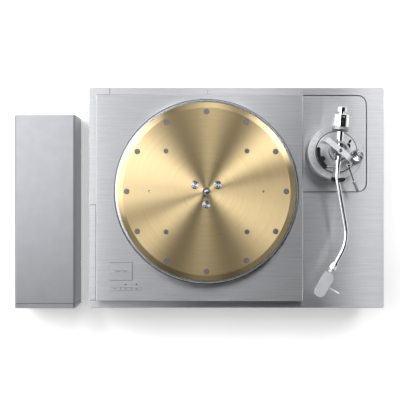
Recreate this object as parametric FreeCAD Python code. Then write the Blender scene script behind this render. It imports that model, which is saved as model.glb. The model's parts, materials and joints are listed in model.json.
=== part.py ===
import FreeCAD, Part
import math
import os
from FreeCAD import Matrix, Vector

# A direct-drive turntable with one tonearm, and its separate control unit beside it.
# Millimetres. Plan positions are measured from the platter's axis (x to the right, y to the
# back) and heights from the surface that the set stands on. save() moves every piece to the
# set's own origin, the middle of its footprint.

# Plinth
PLINTH_LEFT, PLINTH_FRONT = -210.0, -208.0
PLINTH_WIDTH, PLINTH_DEPTH = 528.0, 394.0
PLINTH_BASE_Z = 38.0
BOTTOM_PLATE_T, CORE_T, TOP_PLATE_T = 9.0, 24.0, 30.0
CORE_INSET = 3.0
PLINTH_CORNER_R = 2.5
EDGE_BREAK = 0.8
COVER_DEPTH = 12.6
LEFT_COVER = (-194.5, -22.7)
REAR_COVER = (-173.3, 2.5)
COVER_GAP = 0.35
TERMINAL_RECESS = (188.0, 262.0, 24.0)
SOCKET_RECESS = (-52.0, -8.0, 16.0)

# Feet of the plinth
FOOT_R, FOOT_INSET = 31.0, 46.0
STUD_R, STUD_LENGTH = 5.0, 8.5
STUD_CLEARANCE = 0.05

# Motor unit
PANEL = 365.0
PANEL_LEFT, PANEL_FRONT = -194.7, -193.1
PANEL_T = 22.0
PANEL_CHAMFER = 1.2
POCKET = 341.0
POCKET_CORNER_R = 8.0
CHASSIS_FLOOR_Z, CHASSIS_FLOOR_T, CHASSIS_WALL = 49.0, 6.0, 3.5
PLATTER_WELL_R, PLATTER_WELL_Z = 163.0, 112.0
ROTOR_WELL_R = 116.0

# Controls on the motor unit
BUTTON = (-170.5, -130.3, -156.6, -124.5)
BUTTON_PROUD, BUTTON_TRAVEL = 1.2, 1.0
KEY_ROW = (-170.5, -113.4, -175.1, -168.6)
KEY_COUNT = 3
KEY_PROUD = 0.8
KEY_NAMES = ("speed_key_33", "speed_key_45", "speed_key_78")
CONTROL_GAP = 0.35
LENS_PLACES = ((-142.8, -163.6), (-123.3, -163.6))
LENS_R = 1.3

# Platter
PLATTER_FOOT_R, PLATTER_RIM_R = 161.5, 159.6
PLATTER_BASE_Z, TAPER_Z, RIM_Z = 113.0, 123.0, 141.0
SEAT_R, SEAT_Z = 155.8, 135.0
BRASS_R, BRASS_FLAT_R, BRASS_TOP_Z = 155.6, 146.0, 145.0
WEB_T, SKIRT_WALL, RUBBER_T = 6.0, 12.0, 4.0
WEIGHT_COUNT, WEIGHT_PITCH_R, WEIGHT_R = 12, 138.8, 5.0
SMALL_SCREW_COUNT, SMALL_SCREW_PITCH_R, SMALL_SCREW_R = 4, 99.4, 4.4
LIFT_HOLE_PITCH_R, LIFT_HOLE_R = 99.3, 2.1
FIXING_COUNT, FIXING_PITCH_R, FIXING_R = 3, 23.0, 7.6
CENTRE_HOLE_R = 7.0

# Spindle, bearing and motor
SHAFT_R, RECORD_PIN_R, SPINDLE_TOP_Z = 6.0, 3.57, 158.0
RUNNING_FIT, PRESS_GAP = 0.03, 0.02
HOUSING_R, BUSH_R = 22.0, 10.0
ROTOR_R, YOKE_Z, YOKE_T = 108.0, 104.0, 5.0
MAGNET_INNER_R, MAGNET_OUTER_R, MAGNET_T, POLE_COUNT = 62.0, 104.0, 7.0, 16
COIL_COUNT, COIL_PITCH_R, COIL_T = 12, 82.0, 7.0
STATOR_Z, STATOR_T = 84.0, 2.0

# Arm station
ARM_PLATE = (164.5, 286.2, -0.1, 172.0)
ARM_PLATE_T, ARM_PLATE_R = 12.0, 16.0
ARM_PLATE_GAP = 1.3
PIVOT_X, PIVOT_Y = 226.2, 68.9
RING_R, RING_TOP_Z, COLLAR_TOP_Z = 48.5, 138.0, 109.0
TURRET_R, TURRET_TOP_Z, TURRET_FOOT_Z = 36.0, 142.0, 90.0
SLIDE_FIT = 0.4
BRIDGE_ANGLE, BRIDGE_WIDTH, BRIDGE_T = 140.2, 9.6, 5.0
BRIDGE_REACH = (29.8, 22.9)
BRIDGE_TOP_Z = 186.0
DIAL_X, DIAL_Y, DIAL_R = 35.7, -6.9, 11.5
LOCK_X, LOCK_Y, LOCK_R = 18.8, 10.2, 5.3
LIFTER_R, LIFTER_WIDTH = 33.5, 6.4
LIFTER_ANGLES = (172.5, 232.6)
LIFTER_TOP_Z = 158.6
LEVER_ROOT = (19.5, -23.3, 150.0)
LEVER_ELBOW = (29.2, -50.1, 146.5)
LEVER_TIP = (37.3, -68.2, 143.0)
REST_REACH = 48.5
CLAMP_PIVOT_SIDE, CLAMP_PIVOT_Z, CLAMP_LENGTH = 9.6, 174.0, 16.5

# Tonearm
ARM_Z = 168.0
ARM_ANGLE = -94.1
GIMBAL_R, GIMBAL_WALL, GIMBAL_HEIGHT = 17.0, 3.5, 16.0
FIRST_STRAIGHT, MIDDLE_STRAIGHT, END_STRAIGHT = 45.0, 109.5, 44.4
FIRST_BEND, SECOND_BEND = 14.0, -38.6
FIRST_BEND_R, SECOND_BEND_R = 32.0, 42.0
TUBE_R, TUBE_ROOT_R = 4.15, 5.25
TUBE_ROOT_START, TUBE_ROOT_END = 9.0, 41.0
STUB_R, STUB_END = 6.15, 62.0
NECK_R, NECK_END = 4.25, 72.0
FORCE_RING = (14.7, 33.5, 40.0)
COUNTERWEIGHT = (13.7, 40.3, 61.8)
AUXILIARY = (8.5, 66.7, 74.9)
SLEEVE_R = 7.6
COLLAR_R, COLLAR_LENGTH = 6.35, 14.0
SHELL_WIDTH, SHELL_NECK_WIDTH, SHELL_LENGTH, SHELL_T = 18.6, 13.2, 48.0, 3.2
SHELL_START, SHELL_TOP = 13.0, 3.4
CARTRIDGE_SPACING = 12.7
LIFT_REACH = 23.0

# Control unit
UNIT_LEFT, UNIT_FRONT = -347.4, -210.8
UNIT_WIDTH, UNIT_DEPTH, UNIT_TOP_Z, UNIT_BASE_Z = 110.0, 350.0, 84.0, 5.0
UNIT_WALL, UNIT_CHAMFER = 3.0, 3.5
FACE_T, FACE_GROOVE = 8.0, 0.8
POWER_X, POWER_R, CONTROLS_Z = 18.0, 7.0, 53.0
WINDOW = (40.0, 70.0, 46.0, 60.0)
PITCH_KEY = (80.0, 98.0, 48.0, 58.0)
SIDE_SCREW_R, SIDE_SCREW_PROUD, CASE_SHANK = 3.6, 1.8, 5.5

# Levels and edges that follow from the sizes above
CORE_Z = PLINTH_BASE_Z + BOTTOM_PLATE_T
TOP_PLATE_Z = CORE_Z + CORE_T
PLINTH_TOP_Z = TOP_PLATE_Z + TOP_PLATE_T
PANEL_TOP_Z = PLINTH_TOP_Z + PANEL_T
PLINTH_RIGHT = PLINTH_LEFT + PLINTH_WIDTH
PLINTH_REAR = PLINTH_FRONT + PLINTH_DEPTH
PANEL_X, PANEL_Y = PANEL_LEFT + PANEL / 2, PANEL_FRONT + PANEL / 2
UNIT_RIGHT = UNIT_LEFT + UNIT_WIDTH
UNIT_REAR = UNIT_FRONT + UNIT_DEPTH
WEB_Z = SEAT_Z - WEB_T
SET_CENTRE_X = (UNIT_LEFT - SIDE_SCREW_PROUD + PLINTH_RIGHT) / 2
SET_CENTRE_Y = (UNIT_FRONT + PLINTH_REAR) / 2


# Shared shape tools

def block(x0, x1, y0, y1, z0, z1):
    return Part.makeBox(x1 - x0, y1 - y0, z1 - z0, Vector(x0, y0, z0))


def rounded_block(x0, x1, y0, y1, z0, z1, radius):
    """A block whose upright corners are rounded."""
    body = block(x0, x1, y0, y1, z0, z1)
    upright = [e for e in body.Edges if abs(e.Vertexes[0].Z - e.Vertexes[1].Z) > 0.5 * (z1 - z0)]
    return body.makeFillet(radius, upright)


def cylinder(radius, z0, z1, x=0.0, y=0.0):
    return Part.makeCylinder(radius, z1 - z0, Vector(x, y, z0))


def turned(profile, x=0.0, y=0.0):
    """A piece turned about an upright axis from (radius, height) points."""
    corners = [Vector(r, 0, z) for r, z in profile]
    face = Part.Face(Part.makePolygon(corners + corners[:1]))
    body = face.revolve(Vector(0, 0, 0), Vector(0, 0, 1), 360)
    return body.translated(Vector(x, y, 0))


def ring(inner, outer, z0, z1, x=0.0, y=0.0):
    return turned([(inner, z0), (outer, z0), (outer, z1), (inner, z1)], x, y)


def outline_block(points, z0, z1):
    corners = [Vector(x, y, z0) for x, y in points]
    face = Part.Face(Part.makePolygon(corners + corners[:1]))
    return face.extrude(Vector(0, 0, z1 - z0))


def upright_plate(points, y0, y1):
    """A plate that stands across the Y axis, from (x, z) points."""
    corners = [Vector(x, y0, z) for x, z in points]
    face = Part.Face(Part.makePolygon(corners + corners[:1]))
    return face.extrude(Vector(0, y1 - y0, 0))


def edges_at(body, z):
    """The edges that lie at height z."""
    return [e for e in body.Edges if abs(e.BoundBox.ZMin - z) < 1e-6 and abs(e.BoundBox.ZMax - z) < 1e-6]


def circle_of(piece, count, pitch_r, start=0.0):
    """Copies of a piece made at the axis, spread round a pitch circle."""
    copies = []
    for i in range(count):
        angle = math.radians(start + 360.0 * i / count)
        copies.append(piece.translated(Vector(pitch_r * math.cos(angle), pitch_r * math.sin(angle), 0)))
    return copies


def turned_round(piece, degrees):
    matrix = Matrix()
    matrix.rotateZ(math.radians(degrees))
    return piece.transformed(matrix)


def cut_all(body, tools):
    return body.cut(tools) if tools else body


def group(pieces):
    return pieces[0] if len(pieces) == 1 else Part.makeCompound(pieces)


def at_pivot(piece):
    return piece.translated(Vector(PIVOT_X, PIVOT_Y, 0))


def on_arm(piece, angle=ARM_ANGLE, x=0.0, y=0.0):
    """A piece made along +X at height 0, turned to the arm's direction and set at its height."""
    placed = turned_round(piece, angle)
    return at_pivot(placed.translated(Vector(x, y, ARM_Z)))


def lengthwise(profile):
    """A piece turned about the X axis from (distance along, radius) points."""
    corners = [Vector(s, 0, r) for s, r in profile]
    face = Part.Face(Part.makePolygon(corners + corners[:1]))
    return face.revolve(Vector(0, 0, 0), Vector(1, 0, 0), 360)


def rod(start, end, radius):
    start, end = Vector(*start), Vector(*end)
    return Part.makeCylinder(radius, (end - start).Length, start, end - start)


# Plinth

def foot_places():
    low_x, high_x = PLINTH_LEFT + FOOT_INSET, PLINTH_RIGHT - FOOT_INSET
    low_y, high_y = PLINTH_FRONT + FOOT_INSET, PLINTH_REAR - FOOT_INSET
    return {
        "foot_front_left": (low_x, low_y),
        "foot_front_right": (high_x, low_y),
        "foot_rear_left": (low_x, high_y),
        "foot_rear_right": (high_x, high_y),
    }


def motor_pocket(z0, z1):
    half = POCKET / 2
    return rounded_block(PANEL_X - half, PANEL_X + half, PANEL_Y - half, PANEL_Y + half, z0, z1,
                         POCKET_CORNER_R)


def arm_well(z0, z1):
    return cylinder(TURRET_R + 3, z0, z1, PIVOT_X, PIVOT_Y)


def arm_plate_outline(grow, z0, z1):
    """The arm plate's form: large corners on the open right side, small ones under the motor panel."""
    x0, x1, y0, y1 = ARM_PLATE
    body = block(x0 - grow, x1 + grow, y0 - grow, y1 + grow, z0, z1)
    right = [e for e in body.Edges if e.BoundBox.XMin > x1 + grow - 0.1 and e.BoundBox.ZLength > 1]
    return body.makeFillet(ARM_PLATE_R + grow, right)


def cover_blocks(gap, z0, z1):
    """The strips that close the two unused arm stations, each shrunk by a gap."""
    left = block(PLINTH_LEFT, PLINTH_LEFT + COVER_DEPTH - gap,
                 LEFT_COVER[0] + gap, LEFT_COVER[1] - gap, z0, z1)
    rear = block(REAR_COVER[0] + gap, REAR_COVER[1] - gap,
                 PLINTH_REAR - COVER_DEPTH + gap, PLINTH_REAR, z0, z1)
    return [left, rear]


def plinth_top_plate():
    body = rounded_block(PLINTH_LEFT, PLINTH_RIGHT, PLINTH_FRONT, PLINTH_REAR,
                         TOP_PLATE_Z, PLINTH_TOP_Z, PLINTH_CORNER_R)
    body = body.makeChamfer(EDGE_BREAK, edges_at(body, PLINTH_TOP_Z))
    tools = [motor_pocket(TOP_PLATE_Z - 1, PLINTH_TOP_Z + 1), arm_well(TOP_PLATE_Z - 1, PLINTH_TOP_Z)]
    tools.append(arm_plate_outline(ARM_PLATE_GAP, PLINTH_TOP_Z - ARM_PLATE_T, PLINTH_TOP_Z + 1))
    tools += cover_blocks(0, TOP_PLATE_Z - 1, PLINTH_TOP_Z + 1)
    return cut_all(body, tools)


def arm_station_covers():
    covers = []
    for cover in cover_blocks(COVER_GAP, TOP_PLATE_Z, PLINTH_TOP_Z):
        covers.append(cover.makeChamfer(EDGE_BREAK, edges_at(cover, PLINTH_TOP_Z)))
    return group(covers)


def rear_recess(place, z0, z1):
    x0, x1, depth = place
    return block(x0, x1, PLINTH_REAR - depth, PLINTH_REAR + 1, z0, z1)


def plinth_core():
    inset = CORE_INSET
    body = rounded_block(PLINTH_LEFT + inset, PLINTH_RIGHT - inset, PLINTH_FRONT + inset,
                         PLINTH_REAR - inset, CORE_Z, TOP_PLATE_Z, PLINTH_CORNER_R)
    tools = [motor_pocket(CORE_Z - 1, TOP_PLATE_Z + 1), arm_well(CORE_Z - 1, TOP_PLATE_Z + 1)]
    tools.append(rear_recess(TERMINAL_RECESS, CORE_Z - 1, TOP_PLATE_Z + 1))
    tools.append(rear_recess(SOCKET_RECESS, CORE_Z - 1, TOP_PLATE_Z + 1))
    return cut_all(body, tools)


def plinth_bottom_plate():
    inset = CORE_INSET
    body = rounded_block(PLINTH_LEFT + inset, PLINTH_RIGHT - inset, PLINTH_FRONT + inset,
                         PLINTH_REAR - inset, PLINTH_BASE_Z, CORE_Z, PLINTH_CORNER_R)
    body = body.makeChamfer(1.5, edges_at(body, PLINTH_BASE_Z))
    tools = [cylinder(STUD_R + STUD_CLEARANCE, PLINTH_BASE_Z - 1, CORE_Z + 1, x, y)
             for x, y in foot_places().values()]
    tools.append(rear_recess(TERMINAL_RECESS, PLINTH_BASE_Z - 1, CORE_Z + 1))
    tools.append(rear_recess(SOCKET_RECESS, PLINTH_BASE_Z - 1, CORE_Z + 1))
    return cut_all(body, tools)


def foot(x, y):
    """A turned foot: grip band, waist, soft-edged sole and the stud that sets its height."""
    top = PLINTH_BASE_Z - 0.4
    profile = [(0, 0), (FOOT_R - 5, 0), (FOOT_R - 3, 2), (FOOT_R - 3, 6), (FOOT_R, 7.5), (FOOT_R, 24),
               (FOOT_R - 1, 25), (FOOT_R - 6, 26.5), (FOOT_R - 6, top - 3), (FOOT_R - 9, top),
               (STUD_R, top), (STUD_R, PLINTH_BASE_Z + STUD_LENGTH), (0, PLINTH_BASE_Z + STUD_LENGTH)]
    return turned(profile, x, y)


# Motor unit

def motor_panel():
    x1, y1 = PANEL_LEFT + PANEL, PANEL_FRONT + PANEL
    body = rounded_block(PANEL_LEFT, x1, PANEL_FRONT, y1, PLINTH_TOP_Z, PANEL_TOP_Z, 1.5)
    body = body.makeChamfer(PANEL_CHAMFER, edges_at(body, PANEL_TOP_Z))
    well = turned([(0, PLATTER_WELL_Z), (PLATTER_WELL_R, PLATTER_WELL_Z),
                   (PLATTER_WELL_R, PANEL_TOP_Z - 0.6), (PLATTER_WELL_R + 1.6, PANEL_TOP_Z + 1),
                   (0, PANEL_TOP_Z + 1)])
    tools = [well, cylinder(ROTOR_WELL_R, PLINTH_TOP_Z - 1, PLATTER_WELL_Z + 1)]
    tools.append(block(*BUTTON, PLINTH_TOP_Z - 1, PANEL_TOP_Z + 1))
    tools.append(block(*KEY_ROW, PLINTH_TOP_Z - 1, PANEL_TOP_Z + 1))
    for x, y in LENS_PLACES:
        tools.append(cylinder(LENS_R, PLINTH_TOP_Z - 1, PANEL_TOP_Z + 1, x, y))
    return cut_all(body, tools)


def motor_chassis():
    """A cast tub under the panel, with a bearing boss, radial ribs and pads for the stator."""
    half = POCKET / 2 - 1
    inner = half - CHASSIS_WALL
    floor_z = CHASSIS_FLOOR_Z + CHASSIS_FLOOR_T
    outer = rounded_block(PANEL_X - half, PANEL_X + half, PANEL_Y - half, PANEL_Y + half,
                          CHASSIS_FLOOR_Z, PLINTH_TOP_Z, POCKET_CORNER_R - 1)
    hollow = rounded_block(PANEL_X - inner, PANEL_X + inner, PANEL_Y - inner, PANEL_Y + inner,
                           floor_z, PLINTH_TOP_Z + 1, POCKET_CORNER_R - 1 - CHASSIS_WALL)
    body = outer.cut(hollow)
    ribs = []
    for i in range(8):
        rib = block(40, 150, -2, 2, floor_z, floor_z + 9)
        ribs.append(turned_round(rib, 22.5 + 45 * i))
    pads = circle_of(cylinder(5, floor_z, STATOR_Z), 4, 54.0, 0)
    body = body.fuse([cylinder(42, floor_z, floor_z + 5)] + ribs + pads)
    return body.removeSplitter()


def stator():
    """The stator board and its twelve flat coils, each wound as a rounded wedge with an open eye."""
    z1 = STATOR_Z + STATOR_T
    board = ring(44, 110, STATOR_Z, z1)
    coils = []
    for i in range(COIL_COUNT):
        coil = wedge_loop(COIL_PITCH_R, 36.0, 15.5, 6.0, z1, z1 + COIL_T)
        coils.append(turned_round(coil, 360.0 * i / COIL_COUNT))
    return group([board] + coils)


def wedge_loop(pitch_r, length, half_width, turn_width, z0, z1):
    """A closed loop of wire turns, wider away from the axis."""
    def wedge(grow):
        inner, outer = pitch_r - length / 2 - grow, pitch_r + length / 2 + grow
        taper = half_width / pitch_r
        points = [(inner, -(inner * taper) - grow + 3), (outer, -(outer * taper) - grow + 3),
                  (outer, outer * taper + grow - 3), (inner, inner * taper + grow - 3)]
        return outline_block(points, z0, z1)
    return wedge(0).cut(wedge(-turn_width))


def bearing_housing():
    floor_z = CHASSIS_FLOOR_Z + CHASSIS_FLOOR_T + 5
    body = turned([(BUSH_R, floor_z), (36, floor_z), (36, floor_z + 6), (HOUSING_R + 3, floor_z + 8),
                   (HOUSING_R, floor_z + 14), (HOUSING_R, 96), (HOUSING_R - 2, 98), (BUSH_R, 98)])
    screws = circle_of(cylinder(2.2, floor_z - 1, floor_z + 7), 4, 30.5, 45)
    floor = cylinder(BUSH_R + 1, floor_z, floor_z + 3)
    return cut_all(body.fuse(floor), screws)


def bearing_bushes():
    floor_z = CHASSIS_FLOOR_Z + CHASSIS_FLOOR_T + 8
    outer = BUSH_R - 0.02
    inner = SHAFT_R + RUNNING_FIT
    pad = cylinder(outer, floor_z, floor_z + 3)
    lower = ring(inner, outer, floor_z + 5, floor_z + 17)
    upper = ring(inner, outer, 84, 97.5)
    return group([pad, lower, upper])


def button_shape(area, top_z, flange):
    """A cap with a softened rim and a wider foot that keeps it under the panel."""
    x0, x1, y0, y1 = area
    g = CONTROL_GAP
    cap = rounded_block(x0 + g, x1 - g, y0 + g, y1 - g, PLINTH_TOP_Z - 2, top_z, 0.8)
    cap = cap.makeChamfer(0.5, edges_at(cap, top_z))
    foot_plate = block(x0 - flange, x1 + flange, y0 - flange, y1 + flange,
                       PLINTH_TOP_Z - 3.2, PLINTH_TOP_Z - 0.2)
    return cap.fuse(foot_plate).removeSplitter()


def start_stop_button():
    return button_shape(BUTTON, PANEL_TOP_Z + BUTTON_PROUD, 1.6)


def key_area(index):
    x0, x1, y0, y1 = KEY_ROW
    pitch = (x1 - x0) / KEY_COUNT
    return (x0 + pitch * index, x0 + pitch * (index + 1), y0, y1)


def speed_key(index):
    """One key of the row; its foot is wider at front and back only, so that neighbours run free."""
    x0, x1, y0, y1 = key_area(index)
    g = CONTROL_GAP / 2
    top_z = PANEL_TOP_Z + KEY_PROUD
    cap = rounded_block(x0 + g, x1 - g, y0 + g, y1 - g, PLINTH_TOP_Z - 2, top_z, 0.6)
    cap = cap.makeChamfer(0.4, edges_at(cap, top_z))
    foot_plate = block(x0 + g, x1 - g, y0 - 1.1, y1 + 1.4, PLINTH_TOP_Z - 3.2, PLINTH_TOP_Z - 0.2)
    return cap.fuse(foot_plate).removeSplitter()


def switch_board():
    """The board under the controls, with a switch below each cap and a lamp under each lens."""
    x0, x1 = BUTTON[0] - 3, KEY_ROW[1] + 3
    y0, y1 = KEY_ROW[2] - 1.1, BUTTON[3] + 3
    board_z = PLINTH_TOP_Z - 12
    body = block(x0, x1, y0, y1, board_z, board_z + 1.6)
    switch_top = PLINTH_TOP_Z - 3.2 - BUTTON_TRAVEL - 0.2
    centres = [((BUTTON[0] + BUTTON[1]) / 2, (BUTTON[2] + BUTTON[3]) / 2)]
    for i in range(KEY_COUNT):
        area = key_area(i)
        centres.append(((area[0] + area[1]) / 2, (area[2] + area[3]) / 2))
    parts = []
    for x, y in centres:
        parts.append(block(x - 3, x + 3, y - 3, y + 3, board_z + 1, switch_top - 1.5))
        parts.append(cylinder(1.6, board_z + 1, switch_top, x, y))
    for x, y in LENS_PLACES:
        parts.append(cylinder(1.5, board_z + 1, board_z + 6, x, y))
    legs = [(x0 + 3, y0 + 3), (x1 - 3, y0 + 3), (x0 + 3, y1 - 3), (x1 - 3, y1 - 3)]
    for x, y in legs:
        parts.append(cylinder(2.5, CHASSIS_FLOOR_Z + CHASSIS_FLOOR_T, board_z + 0.8, x, y))
    return body.fuse(parts).removeSplitter()


def indicator_lenses():
    lenses = []
    for x, y in LENS_PLACES:
        profile = [(0, PANEL_TOP_Z - 8), (LENS_R - 0.05, PANEL_TOP_Z - 8),
                   (LENS_R - 0.05, PANEL_TOP_Z - 0.1), (LENS_R - 0.5, PANEL_TOP_Z + 0.2),
                   (0, PANEL_TOP_Z + 0.3)]
        lenses.append(turned(profile, x, y))
    return group(lenses)


# Platter

def platter_body():
    """The cast disc: tapered rim, seat for the brass plate, web, hub and ribs underneath."""
    bore = SHAFT_R + PRESS_GAP
    skirt = PLATTER_FOOT_R - SKIRT_WALL
    body = turned([(bore, WEB_Z), (skirt, WEB_Z), (skirt, PLATTER_BASE_Z),
                   (PLATTER_FOOT_R - 1, PLATTER_BASE_Z), (PLATTER_FOOT_R, PLATTER_BASE_Z + 1),
                   (PLATTER_FOOT_R, TAPER_Z), (PLATTER_RIM_R, RIM_Z - 0.6), (PLATTER_RIM_R - 0.5, RIM_Z),
                   (SEAT_R, RIM_Z), (SEAT_R, SEAT_Z), (bore, SEAT_Z)])
    ribs = []
    for i in range(WEIGHT_COUNT):
        rib = block(120, skirt + 1, -2.5, 2.5, PLATTER_BASE_Z + 3, WEB_Z + 1)
        ribs.append(turned_round(rib, 15 + 30 * i))
    body = body.fuse(ribs)
    holes = circle_of(cylinder(2.0, WEB_Z - 1, SEAT_Z + 1), SMALL_SCREW_COUNT, SMALL_SCREW_PITCH_R, 45)
    holes += circle_of(cylinder(3.2, WEB_Z - 1, SEAT_Z + 1), FIXING_COUNT, FIXING_PITCH_R, 30)
    return cut_all(body, holes)


def brass_plate():
    """The solid brass disc, bevelled round its edge and bored for screws and weights."""
    body = turned([(CENTRE_HOLE_R, SEAT_Z), (BRASS_R, SEAT_Z), (BRASS_R, RIM_Z),
                   (BRASS_FLAT_R, BRASS_TOP_Z), (CENTRE_HOLE_R, BRASS_TOP_Z)])
    holes = circle_of(cylinder(WEIGHT_R, SEAT_Z - 1, BRASS_TOP_Z + 1), WEIGHT_COUNT, WEIGHT_PITCH_R)
    sunk_z, above = BRASS_TOP_Z - 2.6, BRASS_TOP_Z + 1
    screw = turned([(0, SEAT_Z - 1), (2.0, SEAT_Z - 1), (2.0, sunk_z), (SMALL_SCREW_R, BRASS_TOP_Z - 0.2),
                    (SMALL_SCREW_R, above), (0, above)])
    holes += circle_of(screw, SMALL_SCREW_COUNT, SMALL_SCREW_PITCH_R, 45)
    holes += circle_of(cylinder(LIFT_HOLE_R, SEAT_Z - 1, BRASS_TOP_Z + 1), 2, LIFT_HOLE_PITCH_R)
    fixing = turned([(0, SEAT_Z - 1), (3.2, SEAT_Z - 1), (3.2, BRASS_TOP_Z - 5), (FIXING_R, BRASS_TOP_Z - 5),
                     (FIXING_R, above), (0, above)])
    holes += circle_of(fixing, FIXING_COUNT, FIXING_PITCH_R, 30)
    return cut_all(body, holes)


def damping_rubber():
    """A dead rubber sheet bonded under the web, between the rotor and the rib roots."""
    return ring(ROTOR_R + 2, 119.4, WEB_Z - RUBBER_T, WEB_Z)


def tungsten_weights():
    plug = turned([(0, SEAT_Z), (WEIGHT_R - 0.05, SEAT_Z), (WEIGHT_R - 0.05, BRASS_TOP_Z - 0.5),
                   (WEIGHT_R - 0.4, BRASS_TOP_Z - 0.15), (0, BRASS_TOP_Z - 0.15)])
    return group(circle_of(plug, WEIGHT_COUNT, WEIGHT_PITCH_R))


def cross_slot(width, reach, z0, z1):
    arm = block(-reach, reach, -width / 2, width / 2, z0, z1)
    return arm.fuse(turned_round(arm, 90))


def plate_screws():
    """Small countersunk cross-head screws that hold the brass plate to the cast disc."""
    head_r = SMALL_SCREW_R - 0.1
    screw = turned([(0, WEB_Z), (1.9, WEB_Z), (1.9, BRASS_TOP_Z - 2.6), (head_r, BRASS_TOP_Z - 0.2),
                    (head_r, BRASS_TOP_Z), (0, BRASS_TOP_Z)])
    screw = screw.cut(cross_slot(1.0, 2.2, BRASS_TOP_Z - 1.4, BRASS_TOP_Z + 1))
    return group(circle_of(screw, SMALL_SCREW_COUNT, SMALL_SCREW_PITCH_R, 45))


def platter_fixing_screws():
    """Three large cross-head screws through plate and disc into the rotor hub."""
    head_z = BRASS_TOP_Z - 4.9
    screw = turned([(0, WEB_Z - 10), (3.0, WEB_Z - 10), (3.0, head_z), (FIXING_R - 0.15, head_z),
                    (FIXING_R - 0.15, BRASS_TOP_Z - 0.3), (FIXING_R - 0.9, BRASS_TOP_Z + 0.6),
                    (0, BRASS_TOP_Z + 0.6)])
    screw = screw.cut(cross_slot(1.9, 4.2, BRASS_TOP_Z - 2, BRASS_TOP_Z + 2))
    return group(circle_of(screw, FIXING_COUNT, FIXING_PITCH_R, 30))


def rotor_yoke():
    """The steel rotor: a hub that carries the platter and a back plate for the magnets."""
    bore = SHAFT_R + PRESS_GAP
    body = turned([(bore, 100), (15, 100), (30, YOKE_Z), (ROTOR_R, YOKE_Z), (ROTOR_R, YOKE_Z + YOKE_T),
                   (34, YOKE_Z + YOKE_T), (34, WEB_Z), (bore, WEB_Z)])
    holes = circle_of(cylinder(3.05, WEB_Z - 11, WEB_Z + 1), FIXING_COUNT, FIXING_PITCH_R, 30)
    holes += circle_of(cylinder(9, YOKE_Z - 1, YOKE_Z + YOKE_T + 1), 6, 47.0)
    return cut_all(body, holes)


def rotor_magnets():
    magnets = []
    whole = ring(MAGNET_INNER_R, MAGNET_OUTER_R, YOKE_Z - MAGNET_T, YOKE_Z)
    half = math.radians(360.0 / POLE_COUNT / 2 - 0.7)
    reach = MAGNET_OUTER_R + 20
    wedge = outline_block([(0, 0), (reach, -reach * math.tan(half)), (reach, reach * math.tan(half))],
                          YOKE_Z - MAGNET_T - 1, YOKE_Z + 1)
    magnet = whole.common(wedge)
    for i in range(POLE_COUNT):
        magnets.append(turned_round(magnet, 360.0 * i / POLE_COUNT))
    return group(magnets)


def spindle_shaft():
    """The ground shaft, stepped down to the record pin with a rounded nose."""
    foot_z = CHASSIS_FLOOR_Z + CHASSIS_FLOOR_T + 11.1
    profile = [(0, foot_z), (2.5, foot_z), (SHAFT_R, foot_z + 2), (SHAFT_R, BRASS_TOP_Z - 0.6),
               (SHAFT_R - 0.6, BRASS_TOP_Z), (RECORD_PIN_R, BRASS_TOP_Z), (RECORD_PIN_R, SPINDLE_TOP_Z - 3),
               (RECORD_PIN_R - 0.6, SPINDLE_TOP_Z - 1.2), (1.6, SPINDLE_TOP_Z), (0, SPINDLE_TOP_Z)]
    return turned(profile)


# Arm station

def arm_base_plate():
    """The plate of the arm station, milled in one with the collar that guides the turret."""
    z0 = PLINTH_TOP_Z - ARM_PLATE_T
    body = arm_plate_outline(0, z0, PLINTH_TOP_Z)
    body = body.makeChamfer(EDGE_BREAK, edges_at(body, PLINTH_TOP_Z))
    collar = turned([(0, z0 + 1), (RING_R - 1.5, z0 + 1), (RING_R - 1.5, COLLAR_TOP_Z - 1),
                     (RING_R - 2.5, COLLAR_TOP_Z), (0, COLLAR_TOP_Z)], PIVOT_X, PIVOT_Y)
    bore = cylinder(TURRET_R + SLIDE_FIT, z0 - 1, COLLAR_TOP_Z + 1, PIVOT_X, PIVOT_Y)
    return body.fuse(collar).cut(bore).removeSplitter()


def height_ring():
    """The ring that is turned to raise the arm: grip grooves below, a wide flat scale on top."""
    bore = TURRET_R + SLIDE_FIT
    z0 = COLLAR_TOP_Z + 0.4
    body = turned([(bore, z0), (RING_R - 1, z0), (RING_R, z0 + 1), (RING_R, RING_TOP_Z - 1.2),
                   (RING_R - 1.2, RING_TOP_Z), (bore, RING_TOP_Z)])
    groove = cylinder(1.1, z0 - 1, z0 + 16, 0, 0)
    grooves = circle_of(groove, 36, RING_R + 0.3)
    return at_pivot(cut_all(body, grooves))


def arm_turret():
    """The column that rises in the ring, with the lobe that carries the anti-skate dial."""
    top = TURRET_TOP_Z
    column = turned([(TURRET_R - 5, TURRET_FOOT_Z), (TURRET_R, TURRET_FOOT_Z), (TURRET_R, top - 0.8),
                     (TURRET_R - 0.8, top), (0, top), (0, top - 6), (TURRET_R - 5, top - 6)])
    angle = math.degrees(math.atan2(DIAL_Y, DIAL_X))
    web = turned_round(block(0, math.hypot(DIAL_X, DIAL_Y), -9, 9, RING_TOP_Z + 0.6, top), angle)
    lobe = cylinder(DIAL_R + 1.2, RING_TOP_Z + 0.6, top, DIAL_X, DIAL_Y)
    post = turned([(0, top - 1), (9, top - 1), (8, top + 6), (8, 154.5), (7, 155.5), (4.2, 155.5), (4.2, 152),
                   (0, 152)])
    body = column.fuse([web, lobe, post, cue_bearing_block()])
    tools = [cylinder(4.06, top - 7, top + 1, LOCK_X, LOCK_Y)]
    tools.append(cylinder(3.05, top - 7, top + 1, DIAL_X, DIAL_Y))
    tools.append(cylinder(2.05, top - 7, top + 1, *lifter_post_place()))
    tools.append(cue_axle(0.06, 12))
    return at_pivot(body.cut(tools).removeSplitter())


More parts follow.
